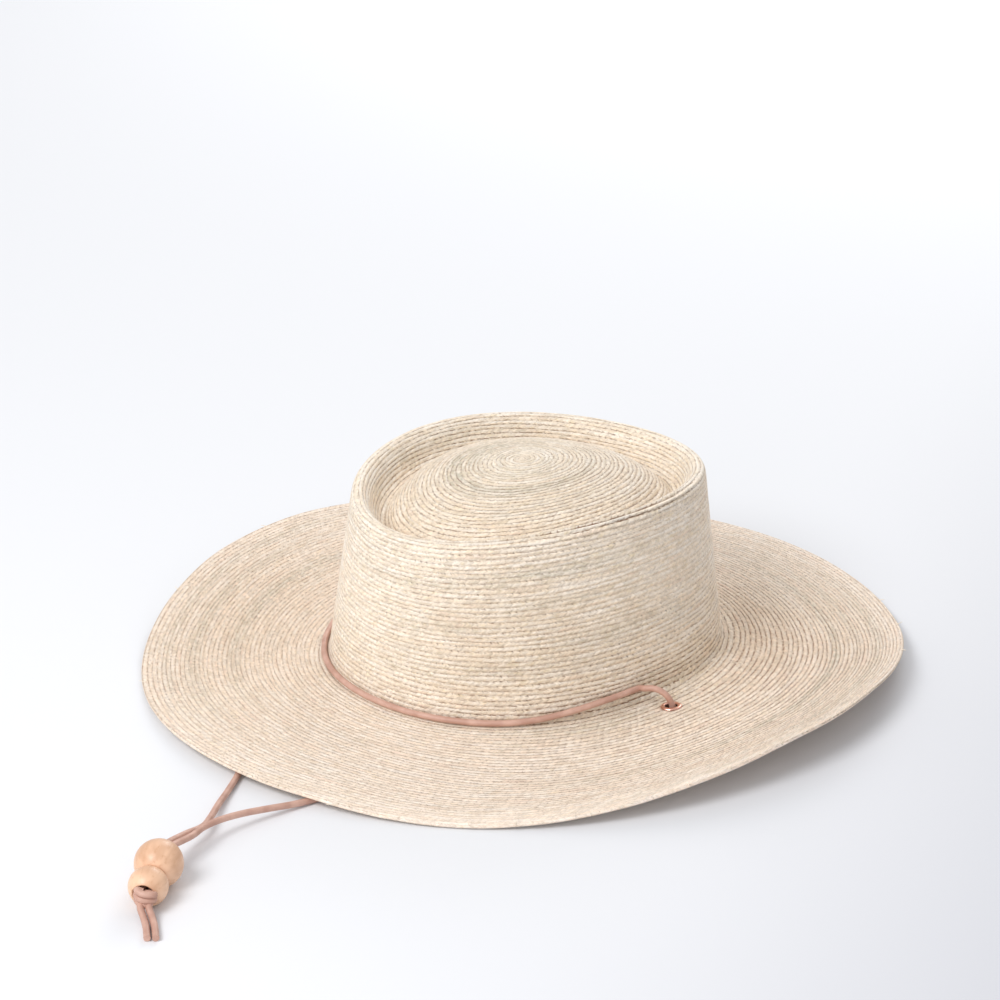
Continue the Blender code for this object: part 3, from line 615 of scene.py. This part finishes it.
# Painted attributes: green for the sage strands, line for the strength of the painted shadow lines, tan for
# painted shade
for attribute, socket in (("around", "Vector"), ("green", "Fac"), ("line", "Fac"), ("tan", "Fac")):
    painted = put(tree, "ShaderNodeAttribute", attribute_name=attribute, attribute_type="GEOMETRY")
    tree.links.new(painted.outputs[socket], straw.inputs[attribute.capitalize()])
tree.links.new(straw.outputs["Color"], shader.inputs["Base Color"])
tree.links.new(straw.outputs["Roughness"], shader.inputs["Roughness"])
shader.inputs["Specular IOR Level"].default_value = 0.3
bump = put(tree, "ShaderNodeBump", {"Strength": 0.7, "Distance": 0.0004, "Height": straw.outputs["Height"]})
tree.links.new(bump.outputs[0], shader.inputs["Normal"])

# Places on the braid: turns from the tip, how many turns wide, middle angle, half
# spread, strength. First the greener lengths of palm, then where the shadow lines are strong
# (above nought) or faint (below it).
GREEN_LENGTHS = (
    (7.0, 6.0, 0.0, 400.0, 0.26), (14.8, 1.2, 20.0, 120.0, 0.75), (16.8, 0.8, -40.0, 90.0, 0.60),
    (12.0, 3.0, -95.0, 60.0, 0.50), (39.0, 2.0, -100.0, 45.0, 0.35), (85.0, 2.2, 68.0, 30.0, 0.45),
    (48.5, 1.6, -30.0, 35.0, 0.30), (52.0, 1.5, 62.0, 28.0, 0.55), (54.0, 1.1, 10.0, 24.0, 0.45),
    (58.5, 1.6, 55.0, 26.0, 0.35), (62.5, 1.4, 25.0, 20.0, 0.40), (66.5, 1.5, 78.0, 24.0, 0.40),
    (71.0, 2.6, 40.0, 30.0, 0.30), (80.0, 2.4, 85.0, 22.0, 0.35), (102.5, 1.8, -65.0, 45.0, 0.60),
    (104.5, 1.1, 120.0, 55.0, 0.70), (99.5, 2.2, -120.0, 40.0, 0.35), (111.5, 1.9, -50.0, 38.0, 0.50),
    (117.0, 1.4, -75.0, 60.0, 0.40), (115.0, 1.6, 128.0, 40.0, 0.45), (109.5, 1.3, 150.0, 40.0, 0.35),
    (119.0, 1.1, 85.0, 30.0, 0.35), (89.0, 2.5, 100.0, 30.0, 0.20),
)
LINE_BASE = 0.50
LINE_MOST = 1.8
LINE_LENGTHS = (
    (100.0, 22.0, 95.0, 45.0, 0.55), (90.0, 10.0, 140.0, 40.0, 0.45), (22.0, 13.0, 75.0, 90.0, 0.35),
    (55.0, 9.0, 100.0, 40.0, -0.25), (81.0, 3.0, 75.0, 45.0, 0.45), (104.2, 0.9, 120.0, 55.0, 0.15),
    (103.0, 17.0, 62.0, 32.0, 0.15), (42.3, 0.3, 70.0, 45.0, 1.2), (43.3, 0.3, 55.0, 60.0, 1.6),
    (44.3, 0.3, 70.0, 42.0, 1.4), (45.3, 0.3, 88.0, 24.0, 1.1), (14.8, 1.0, 40.0, 90.0, 0.5),
    (62.0, 20.0, 98.0, 36.0, -0.22), (120.5, 3.6, 64.0, 40.0, -0.85), (60.0, 24.0, -30.0, 40.0, -0.18),
    (38.0, 5.0, -90.0, 70.0, 0.25),
)
# Painted shade: where the straw faces less light, or lies in the crown's shadow, it is darkened towards a deeper
# tan
PAINTED_SHADE_LENGTHS = (
    (66.0, 22.0, 45.0, 40.0, 0.55), (102.0, 24.0, -50.0, 50.0, 0.80), (89.0, 9.0, 137.0, 42.0, 1.00),
    (108.0, 14.0, 125.0, 60.0, 0.70), (18.0, 18.0, 0.0, 900.0, 0.45),
)


def paint(piece, label, lengths, base, high):
    """Add up the lengths' strengths on a piece, as a value at each of its points."""
    around = np.empty(len(piece.data.vertices) * 3)
    piece.data.attributes["around"].data.foreach_get("vector", around)
    around = around.reshape(-1, 3)
    angle = np.degrees(np.arctan2(around[:, 0], around[:, 1]))
    value = np.full(len(angle), base)
    for turns, wide, middle, spread, strength in lengths:
        away = (angle - middle + 180.0) % 360.0 - 180.0
        value += strength * np.exp(-((around[:, 2] - turns) / wide) ** 2 - (away / spread) ** 2)
    piece.data.attributes.new(label, "FLOAT", "POINT").data.foreach_set("value", np.clip(value, 0.0, high))


for piece in straw_pieces:
    paint(piece, "green", GREEN_LENGTHS, 0.0, 1.0)
    paint(piece, "line", LINE_LENGTHS, LINE_BASE, LINE_MOST)
    paint(piece, "tan", PAINTED_SHADE_LENGTHS, 0.0, 1.0)
    piece.data.materials.append(palm)


# Materials of the small pieces: polished pink copper plate with painted shade inside the eyelets'
# tubes, pale turned wood with a fine grain along the bore, smooth tan leather that is paler where
# it is worn, and dry palm.
WOOD_GRAIN_TURN = (0.0, 0.126, math.radians(53.0))


def plain_material(name, colour, roughness, metallic=0.0):
    material = bpy.data.materials.new(name)
    material.use_nodes = True
    shader = material.node_tree.nodes["Principled BSDF"]
    shader.inputs["Base Color"].default_value = (*colour, 1.0)
    shader.inputs["Roughness"].default_value = roughness
    shader.inputs["Metallic"].default_value = metallic
    return material, material.node_tree, shader


def object_cloud(tree, size, detail):
    """Noise on the object's own coordinates."""
    place = put(tree, "ShaderNodeTexCoord").outputs["Object"]
    return cloud(tree, stretch(tree, place, (size, size, size)), detail=detail)


copper, tree, shader = plain_material("pink copper plate", (0.90, 0.52, 0.42), 0.2, 1.0)
smudge = object_cloud(tree, 300.0, 2.0)
tree.links.new(ramp(tree, smudge, 0.35, 0.7, 0.16, 0.38), shader.inputs["Roughness"])

# Painted shade: a dark brown for the inside of the eyelets' tubes, where the lace fills the hole and shadows it
painted_bore_shade = plain_material("painted shade inside the eyelet", (0.10, 0.045, 0.03), 0.7)[0]

wood, tree, shader = plain_material("pale turned wood", (0.80, 0.50, 0.32), 0.36)
place = put(tree, "ShaderNodeTexCoord").outputs["Object"]
along_grain = put(tree, "ShaderNodeMapping", {"Vector": place, "Rotation": WOOD_GRAIN_TURN}).outputs[0]
grain = cloud(tree, stretch(tree, along_grain, (70.0, 620.0, 620.0)), detail=4.0, roughness=0.6)
bands = cloud(tree, stretch(tree, along_grain, (22.0, 150.0, 150.0)), detail=2.0)
colour = tint(tree, ramp(tree, bands, 0.35, 0.68), (0.66, 0.39, 0.245, 1.0), (0.86, 0.56, 0.38, 1.0))
colour = tint(tree, times(tree, ramp(tree, grain, 0.52, 0.72), 0.45), colour, (0.56, 0.29, 0.15, 1.0))
tree.links.new(colour, shader.inputs["Base Color"])
tree.links.new(ramp(tree, grain, 0.3, 0.7, 0.30, 0.46), shader.inputs["Roughness"])

leather, tree, shader = plain_material("tan leather lace", (0.56, 0.33, 0.26), 0.5)
worn = object_cloud(tree, 130.0, 3.0)
pores = object_cloud(tree, 1500.0, 2.0)
colour = tint(tree, ramp(tree, worn, 0.35, 0.7), (0.50, 0.285, 0.22, 1.0), (0.64, 0.40, 0.32, 1.0))
tree.links.new(colour, shader.inputs["Base Color"])
bump = put(tree, "ShaderNodeBump", {"Strength": 0.4, "Distance": 0.0001, "Height": pores})
tree.links.new(bump.outputs[0], shader.inputs["Normal"])

dry_palm = plain_material("dry palm end", (0.88, 0.77, 0.63), 0.7)[0]


# Turned pieces. The two eyelets are pressed rings of pink copper plate: a short tube through
# the brim, rolled out to a rounded flange above and a thin one below. The two beads are
# turned balls of pale wood with flat ends, and the small one's mouth opens out for the knot.
TURNED_STEPS = 48
SHARP_EDGE = 35.0
EYELET_OFF_MIDDLE = 0.0002
EYELET_SOFT = 0.15
# Radius and height round the ring's section in millimetres, and what counts as its inside
EYELET_RING = (
    (3.0, -1.5), (3.0, 1.8), (3.4, 2.15), (4.1, 2.2), (4.75, 2.0), (5.1, 1.5), (5.0, 1.3), (3.5, 1.3),
    (3.5, -1.3), (5.05, -1.3), (4.9, -1.75), (3.3, -1.8),
)
EYELET_INSIDE = (0.0032, 0.0016)
BEAD_ARC_STEPS = 20
BEAD_SOFT = 0.35
BEAD_BORE = 3.6
BEAD_LARGE_LENGTH = 17.8
BEAD_SMALL_LENGTH = 13.0
# Across, length, radius of the mouth and its depth, in millimetres
BEADS = (
    ("bead_large", 21.0, BEAD_LARGE_LENGTH, 3.6, 0.0),
    ("bead_small", 17.0, BEAD_SMALL_LENGTH, 5.05, 2.2),
)


def frame_along(place, axis):
    """Matrix with Z along an axis and X level."""
    level = axis.cross(Vector((0.0, 0.0, 1.0))).normalized()
    turn = Matrix((level, axis.cross(level), axis)).transposed().to_4x4()
    return Matrix.Translation(place) @ turn


def turned(node, profile, place, soft):
    """A closed profile of radius and height in millimetres, spun about Z, its edges softened."""
    ring = bmesh.new()
    points = [ring.verts.new((radius * MM, 0.0, height * MM)) for radius, height in profile]
    edges = [ring.edges.new(pair) for pair in zip(points, points[1:] + points[:1])]
    bmesh.ops.spin(ring, geom=points + edges, cent=(0, 0, 0), axis=(0, 0, 1), dvec=(0, 0, 0),
                   angle=2.0 * math.pi, steps=TURNED_STEPS, use_merge=True)
    bmesh.ops.remove_doubles(ring, verts=ring.verts, dist=1e-6)
    bmesh.ops.recalc_face_normals(ring, faces=ring.faces)
    sharp = [edge for edge in ring.edges if edge.calc_face_angle() > math.radians(SHARP_EDGE)]
    bmesh.ops.bevel(ring, geom=sharp, offset=soft * MM, offset_type="OFFSET", affect="EDGES", segments=3,
                    profile=0.5, material=-1, clamp_overlap=True)
    bmesh.ops.transform(ring, matrix=place, verts=ring.verts)
    data = bpy.data.meshes.new(node + "_turned")
    ring.to_mesh(data)
    ring.free()
    data.shade_smooth()
    return new_piece(node + "_turned", data, node)


eyelet_middles = {}
for side, node in ((1, "eyelet_right"), (-1, "eyelet_left")):
    seat = next(mount for mount in frame["record"]["mounts"] if mount["name"] == node + "_face")
    upward = Vector(seat["axis"])
    eyelet_middles[side] = box_middle(node) - upward * EYELET_OFF_MIDDLE
    ring_frame = frame_along(eyelet_middles[side], upward)
    ring = turned(node, EYELET_RING, ring_frame, EYELET_SOFT)
    ring.data.materials.append(copper)
    ring.data.materials.append(painted_bore_shade)
    # Painted shade on the faces inside the tube, below the upper flange
    for face in ring.data.polygons:
        inside = ring_frame.inverted() @ face.center
        if math.hypot(inside.x, inside.y) < EYELET_INSIDE[0] and inside.z < EYELET_INSIDE[1]:
            face.material_index = 1

large_bead, small_bead = box_middle("bead_large"), box_middle("bead_small")
bead_along = (small_bead - large_bead).normalized()
bead_aside = bead_along.cross(Vector((0.0, 0.0, 1.0))).normalized()
bead_up = bead_aside.cross(bead_along)
for node, across, length, mouth, mouth_depth in BEADS:
    radius, half = across / 2, length / 2
    reach = math.asin(half / radius)
    arc = [reach * (1.0 - 2.0 * step / BEAD_ARC_STEPS) for step in range(BEAD_ARC_STEPS + 1)]
    ball = [(radius * math.cos(turn), radius * math.sin(turn)) for turn in arc]
    bore = [(BEAD_BORE, -half), (BEAD_BORE, half - mouth_depth)]
    if mouth_depth:
        bore.append((mouth, half))
    bead = turned(node, ball + bore, frame_along(box_middle(node), bead_along), BEAD_SOFT)
    bead.data.materials.append(wood)


# Lace. One round tan leather lace of 3 mm goes up through the left eyelet, round the front of
# the crown and down through the right eyelet. Its two ends run loose under the brim, through
# both beads side by side, and into the knot. One function makes it all.
LACE = 0.003
LACE_GAP = 0.0005
LACE_LIE = 0.00156
LACE_OFF_CROWN = 0.0009
BAND_CLIMB = 0.0058
CORNER_CLIMB = 0.25
LACE_STEPS = 7
# Over an eyelet's edge, from its middle: towards the crown, along the brim, up
ARCH_ROUTE = ((0.0002, 0.0007, -0.0002), (0.0002, 0.0010, 0.0010), (0.0006, 0.0006, 0.0028),
              (0.0013, -0.0004, 0.0052), (0.0026, -0.0018, 0.0076), (0.0048, -0.0034, 0.0092),
              (0.0078, -0.0051, 0.0097), (0.0110, -0.0067, 0.0090))
# On the crown: angle from the front, and share of BAND_CLIMB above the brim
BAND_ROUTE = ((-84.0, 1.0), (-79.0, 0.98), (-73.0, 0.86), (-65.0, 0.58), (-57.0, 0.28), (-50.0, 0.08),
              (-42.0, 0.0), (-30.0, 0.0), (-18.0, 0.0), (-6.0, 0.0), (6.0, 0.0), (18.0, 0.0), (30.0, 0.0),
              (42.0, 0.0), (50.0, 0.10), (57.0, 0.30), (65.0, 0.60), (73.0, 0.86), (79.0, 0.98), (84.0, 1.0))
# Down from an eyelet's middle: towards the crown, along the brim, share of the height left
DROP_ROUTE = ((0.0002, 0.0003, 0.68), (0.0002, -0.0002, 0.50), (0.0002, -0.0009, 0.34),
              (0.0002, -0.0018, 0.21), (0.0003, -0.0031, 0.085), (0.0005, -0.0050, 0.018),
              (0.0007, -0.0078, 0.0), (0.0010, -0.0112, 0.0))
STRAND_RIGHT_ROUTE = (
    (0.1022, -0.0200, LACE_LIE), (0.0962, -0.0480, LACE_LIE), (0.0850, -0.0780, LACE_LIE),
    (0.0725, -0.1040, LACE_LIE), (0.0628, -0.1300, LACE_LIE), (0.0568, -0.1560, LACE_LIE),
    (0.0540, -0.1750, 0.0017), (0.0524, -0.1870, 0.0026), (0.0508, -0.2010, 0.0047),
    (0.0499, -0.2150, 0.0069), (0.0502, -0.2280, 0.0084), (0.0518, -0.2370, 0.0090),
    (0.0555, -0.2452, 0.0098))
STRAND_LEFT_ROUTE = (
    (-0.1002, -0.0200, LACE_LIE), (-0.0958, -0.0440, LACE_LIE), (-0.0850, -0.0730, LACE_LIE),
    (-0.0670, -0.0995, LACE_LIE), (-0.0440, -0.1250, LACE_LIE), (-0.0210, -0.1500, LACE_LIE),
    (-0.0010, -0.1720, LACE_LIE), (0.0120, -0.1870, 0.0017), (0.0219, -0.2004, 0.0021),
    (0.0308, -0.2128, 0.0030), (0.0392, -0.2232, 0.0042), (0.0462, -0.2330, 0.0058),
    (0.0508, -0.2456, 0.0087))
TAIL_RIGHT_ROUTE = ((0.0852, -0.2903, 0.0052), (0.0887, -0.2916, 0.0031), (0.0934, -0.2938, 0.00175),
                    (0.1021, -0.2995, LACE_LIE))
TAIL_LEFT_ROUTE = ((0.0828, -0.2929, 0.0052), (0.0863, -0.2942, 0.0031), (0.0910, -0.2964, 0.00175),
                   (0.0997, -0.3021, LACE_LIE))


def round_curve(name, thickness, sides, material):
    """An empty curve that makes round rods with closed ends."""
    data = bpy.data.curves.new(name, "CURVE")
    data.dimensions = "3D"
    data.bevel_depth = thickness / 2
    data.bevel_resolution = sides
    data.use_fill_caps = True
    data.materials.append(material)
    return data


def lace_curve(name, route, thickness=LACE):
    """Round lace along a route, smooth through all its points."""
    data = round_curve(name, thickness, 4, leather)
    line = fine_spans(np.array(route)[:, None, :], LACE_STEPS)[:, 0]
    spline = data.splines.new("POLY")
    spline.points.add(len(line) - 1)
    spline.points.foreach_set("co", np.column_stack([line, np.ones(len(line))]).ravel())
    spline.use_smooth = True
    return data


def by_eyelet(side, inward, along, up):
    """A place near the eyelet on one side: towards the crown, along the brim, up."""
    return eyelet_middles[side] + Vector((-side * inward, along, up))


def band_place(angle, climb):
    """Centre of the lace against the crown, just above the brim's inner edge."""
    clear = LACE / 2 + LACE_OFF_CROWN
    corner = FOOT_ROUND - (FOOT_ROUND - clear) * math.sqrt(0.5)
    height = corner + climb * BAND_CLIMB
    lean = height / (CROWN_HEIGHT - RIM_ROUND)
    at = np.array([angle])
    wall = base_line(at)[0] * (1.0 - lean) + shoulder_line(at)[0] * lean
    along = Vector(base_line(at + 1.0)[0] - base_line(at - 1.0)[0])
    outward = along.cross(Vector((0.0, 0.0, 1.0))).normalized()
    reach = clear + (corner - clear) * (1.0 - min(climb / CORNER_CLIMB, 1.0))
    return Vector((wall[0], wall[1], BRIM_REST + STRAW_WALL + height)) + outward * reach


arches = {side: [by_eyelet(side, *row) for row in ARCH_ROUTE] for side in (-1, 1)}
band_route = arches[-1] + [band_place(*row) for row in BAND_ROUTE] + arches[1][::-1]
new_piece("lace_band", lace_curve("lace_band", band_route), "cord_band")

# Knot. Both ends are wound twice across the small bead's mouth and pulled tight. The knot's
# turns lie level, one on the other, and lean a little to the right.
KNOT_PROUD = 0.0016
KNOT_ASIDE = 0.0011
KNOT_RAISED = 0.0008
KNOT_TILT = -9.0
KNOT_LACE = 0.0029
# Angle round the knot from its front, then millimetres to the side, along the bore and up
KNOT_TURNS = (
    (-150.0, 2.6, 0.6, 1.9), (-100.0, 3.7, 1.2, 2.3), (-60.0, 3.6, 1.7, 2.5), (-20.0, 3.4, 1.9, 2.5),
    (20.0, 3.4, 1.9, 2.5), (60.0, 3.7, 1.7, 2.3), (100.0, 3.8, 1.2, 1.9), (180.0, 3.4, 0.8, 1.1),
    (-100.0, 3.8, 1.4, 0.2), (-60.0, 3.6, 2.1, -0.1), (-20.0, 3.4, 2.4, -0.2), (20.0, 3.4, 2.4, -0.2),
    (60.0, 3.7, 2.1, -0.3), (100.0, 3.8, 1.4, -0.6), (180.0, 3.2, 0.8, -1.4),
    (-90.0, 3.3, 1.5, -2.3), (-45.0, 3.1, 2.3, -2.5), (0.0, 3.0, 2.6, -2.5), (45.0, 3.1, 2.3, -2.4),
    (100.0, 2.6, 1.2, -2.0),
)
knot_middle = small_bead + bead_along * (BEAD_SMALL_LENGTH / 2 * MM + KNOT_PROUD)
knot_middle += bead_up * KNOT_RAISED - bead_aside * KNOT_ASIDE
tilt = Matrix.Rotation(math.radians(KNOT_TILT), 3, bead_along)
knot_route = []
for angle, side_way, fore_way, up in KNOT_TURNS:
    turn = math.radians(angle)
    off = -bead_aside * side_way * math.sin(turn) + bead_along * fore_way * math.cos(turn) + bead_up * up
    knot_route.append(knot_middle + tilt @ off * MM)
data = lace_curve("stopper_knot_turns", knot_route, KNOT_LACE)
knot = new_piece("stopper_knot_turns", data, "stopper_knot")

# Loose ends. Each is one free cord from its eyelet to its cut end past the knot. The two lie
# side by side inside the beads.
CORD_RIGHT_LENGTH = 0.330
CORD_LEFT_LENGTH = 0.374
LOOSE_ENDS = (
    (1, "right", STRAND_RIGHT_ROUTE, TAIL_RIGHT_ROUTE, CORD_RIGHT_LENGTH),
    (-1, "left", STRAND_LEFT_ROUTE, TAIL_LEFT_ROUTE, CORD_LEFT_LENGTH),
)
mouth = large_bead - bead_along * (BEAD_LARGE_LENGTH / 2 * MM)
for side, name, strand, tail, length in LOOSE_ENDS:
    fall = eyelet_middles[side].z - LACE_LIE
    drop = [by_eyelet(side, inward, along, fall * (left - 1.0)) for inward, along, left in DROP_ROUTE]
    aside = -bead_aside * side * (LACE + LACE_GAP) / 2
    inside = [place + aside for place in (mouth - bead_along * LACE, mouth, large_bead, small_bead)]
    route = drop + [Vector(place) for place in strand] + inside + [Vector(place) for place in tail]
    data = lace_curve("free_lace_" + name, route)
    cord = new_piece("free_lace_" + name, data, "cord_strand_" + name)
    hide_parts("cord_tail_" + name)


# Stray fibres. A few thin pale ends of palm stick out of the brim's edge where the last row was
# trimmed: angle from the front, length in millimetres, lean along the edge, lift.
STRAY_FIBRES = (
    (-31.0, 2.6, 0.5, 0.3), (-19.0, 2.0, -0.6, 0.6), (-7.0, 2.4, 0.8, 0.2), (3.0, 2.0, -0.4, 0.5),
    (10.5, 3.6, 0.4, 0.1), (12.5, 4.2, -0.3, 0.3), (14.0, 2.8, 0.8, 0.6), (22.5, 4.6, 0.9, 0.2),
    (24.0, 3.0, -0.5, 0.5), (31.5, 2.2, 0.6, 0.2), (41.0, 2.4, -0.7, 0.4), (47.5, 3.4, 0.5, -0.1),
    (49.5, 3.8, -0.6, 0.2), (55.5, 3.0, 0.7, 0.3), (57.5, 4.0, 0.2, -0.2), (63.0, 2.2, -0.8, 0.4),
    (71.5, 3.2, 0.6, 0.2), (83.0, 2.4, -0.4, 0.4), (128.0, 2.6, 0.6, 0.5), (141.0, 3.2, -0.5, 0.4),
    (152.0, 2.4, 0.7, 0.6), (-60.0, 2.6, 0.4, 0.5), (-84.0, 2.8, -0.6, 0.4), (-118.0, 2.4, 0.5, 0.6),
)
FIBRE_WIDTH = 0.0005
FIBRE_SHARES = (0.0, 0.3, 0.55, 0.8, 1.0)
FIBRE_TAPER = 0.6
FIBRE_LIFT = 1.5
FIBRE_ROOT = TURNS_EDGE - 0.3
data = round_curve("stray_fibres", FIBRE_WIDTH, 1, dry_palm)
for angle, length, lean, lift in STRAY_FIBRES:
    at = np.array([angle])
    root = Vector(straw_place(np.array([FIBRE_ROOT]), at)[0])
    outward = Vector((math.sin(math.radians(angle)), -math.cos(math.radians(angle)), 0.0))
    along = outward.cross(Vector((0.0, 0.0, 1.0)))
    spline = data.splines.new("POLY")
    spline.points.add(len(FIBRE_SHARES) - 1)
    for point, share in zip(spline.points, FIBRE_SHARES):
        reach = outward * (share * length) + along * (lean * share ** 2 * length)
        reach.z = lift * share * FIBRE_LIFT
        point.co = (*(root + reach * MM), 1.0)
        point.radius = 1.0 - FIBRE_TAPER * share
new_piece("stray_fibres", data)


# Studio surface: plain and white, with painted shade that darkens it to a cool grey towards the
# hat's right, and large enough to fill the camera's view.
FLOOR_HALF = 6.0
FLOOR_FALL = (1.045, 0.3975, 0.0)
FLOOR_LIGHT = (0.815, 0.825, 0.855, 1.0)
FLOOR_PAINTED_SHADE = (0.515, 0.52, 0.57, 1.0)
floor_mesh = bmesh.new()
bmesh.ops.create_grid(floor_mesh, x_segments=1, y_segments=1, size=FLOOR_HALF)
floor_data = bpy.data.meshes.new("floor")
floor_mesh.to_mesh(floor_data)
floor_mesh.free()
floor = bpy.data.objects.new("floor", floor_data)
bpy.context.scene.collection.objects.link(floor)
white = bpy.data.materials.new("white surface")
white.use_nodes = True
tree = white.node_tree
shader = tree.nodes["Principled BSDF"]
place = put(tree, "ShaderNodeTexCoord").outputs["Object"]
# Painted shade: the surface darkens towards the hat's right, where less light reaches it
painted_fall_off = put(tree, "ShaderNodeVectorMath", {0: place, 1: FLOOR_FALL}, operation="DOT_PRODUCT").outputs["Value"]
tree.links.new(tint(tree, ramp(tree, painted_fall_off, 0.02, 0.62), FLOOR_LIGHT, FLOOR_PAINTED_SHADE), shader.inputs["Base Color"])
shader.inputs["Roughness"].default_value = 0.8
shader.inputs["Specular IOR Level"].default_value = 0.1
floor_data.materials.append(white)


# Lights: a soft key light from the front, a low fill, a rim light from the back left, and one
# that keeps the surface behind the hat white.
LIGHT_AWAY = 2.2
LIGHT_SIZE = 1.0
# Name, angle from the front, climb above the surface, power
LIGHTS = (("key", 5.0, 45.0, 24.4), ("front_fill", 25.0, 22.0, 4.9), ("back_rim", -150.0, 22.0, 7.5))
BACKDROP_AT = (-1.0, 1.9, 1.4)
BACKDROP_AIM = (-0.6, 1.0, 0.0)
BACKDROP_SIZE = 1.5
BACKDROP_POWER = 13.0
SKY_STRENGTH = 0.63


def soft_light(name, place, aim, size, power):
    data = bpy.data.lights.new(name, "AREA")
    data.shape = "DISK"
    data.size = size
    data.energy = power
    light = bpy.data.objects.new(name, data)
    light.location = place
    light.rotation_euler = (Vector(aim) - Vector(place)).to_track_quat("-Z", "Y").to_euler()
    bpy.context.scene.collection.objects.link(light)


for name, angle, climb, power in LIGHTS:
    turn, rise = math.radians(angle), math.radians(climb)
    towards = Vector((math.sin(turn) * math.cos(rise), -math.cos(turn) * math.cos(rise), math.sin(rise)))
    soft_light(name, towards * LIGHT_AWAY, (0.0, 0.0, 0.0), LIGHT_SIZE, power)
soft_light("backdrop", BACKDROP_AT, BACKDROP_AIM, BACKDROP_SIZE, BACKDROP_POWER)
sky = bpy.data.worlds.new("studio")
sky.use_nodes = True
sky.node_tree.nodes["Background"].inputs[0].default_value = (1.0, 1.0, 1.0, 1.0)
sky.node_tree.nodes["Background"].inputs[1].default_value = SKY_STRENGTH
bpy.context.scene.world = sky
bpy.context.scene.view_settings.view_transform = "Standard"


# Camera, where the photograph was taken from.
CAMERA_AT = Vector((0.9738, -0.9111, 0.6288))
CAMERA_AIM = Vector((-0.0287, 0.0100, 0.0676))
CAMERA_LENS = 108.0
CAMERA_SENSOR = 36.0
CAMERA_REACH = 30.0
lens = bpy.data.cameras.new("camera")
lens.lens = CAMERA_LENS
lens.sensor_width = CAMERA_SENSOR
lens.clip_end = CAMERA_REACH
camera = bpy.data.objects.new("camera", lens)
camera.location = CAMERA_AT
camera.rotation_euler = (CAMERA_AIM - CAMERA_AT).to_track_quat("-Z", "Y").to_euler()
bpy.context.scene.collection.objects.link(camera)
bpy.context.scene.camera = camera
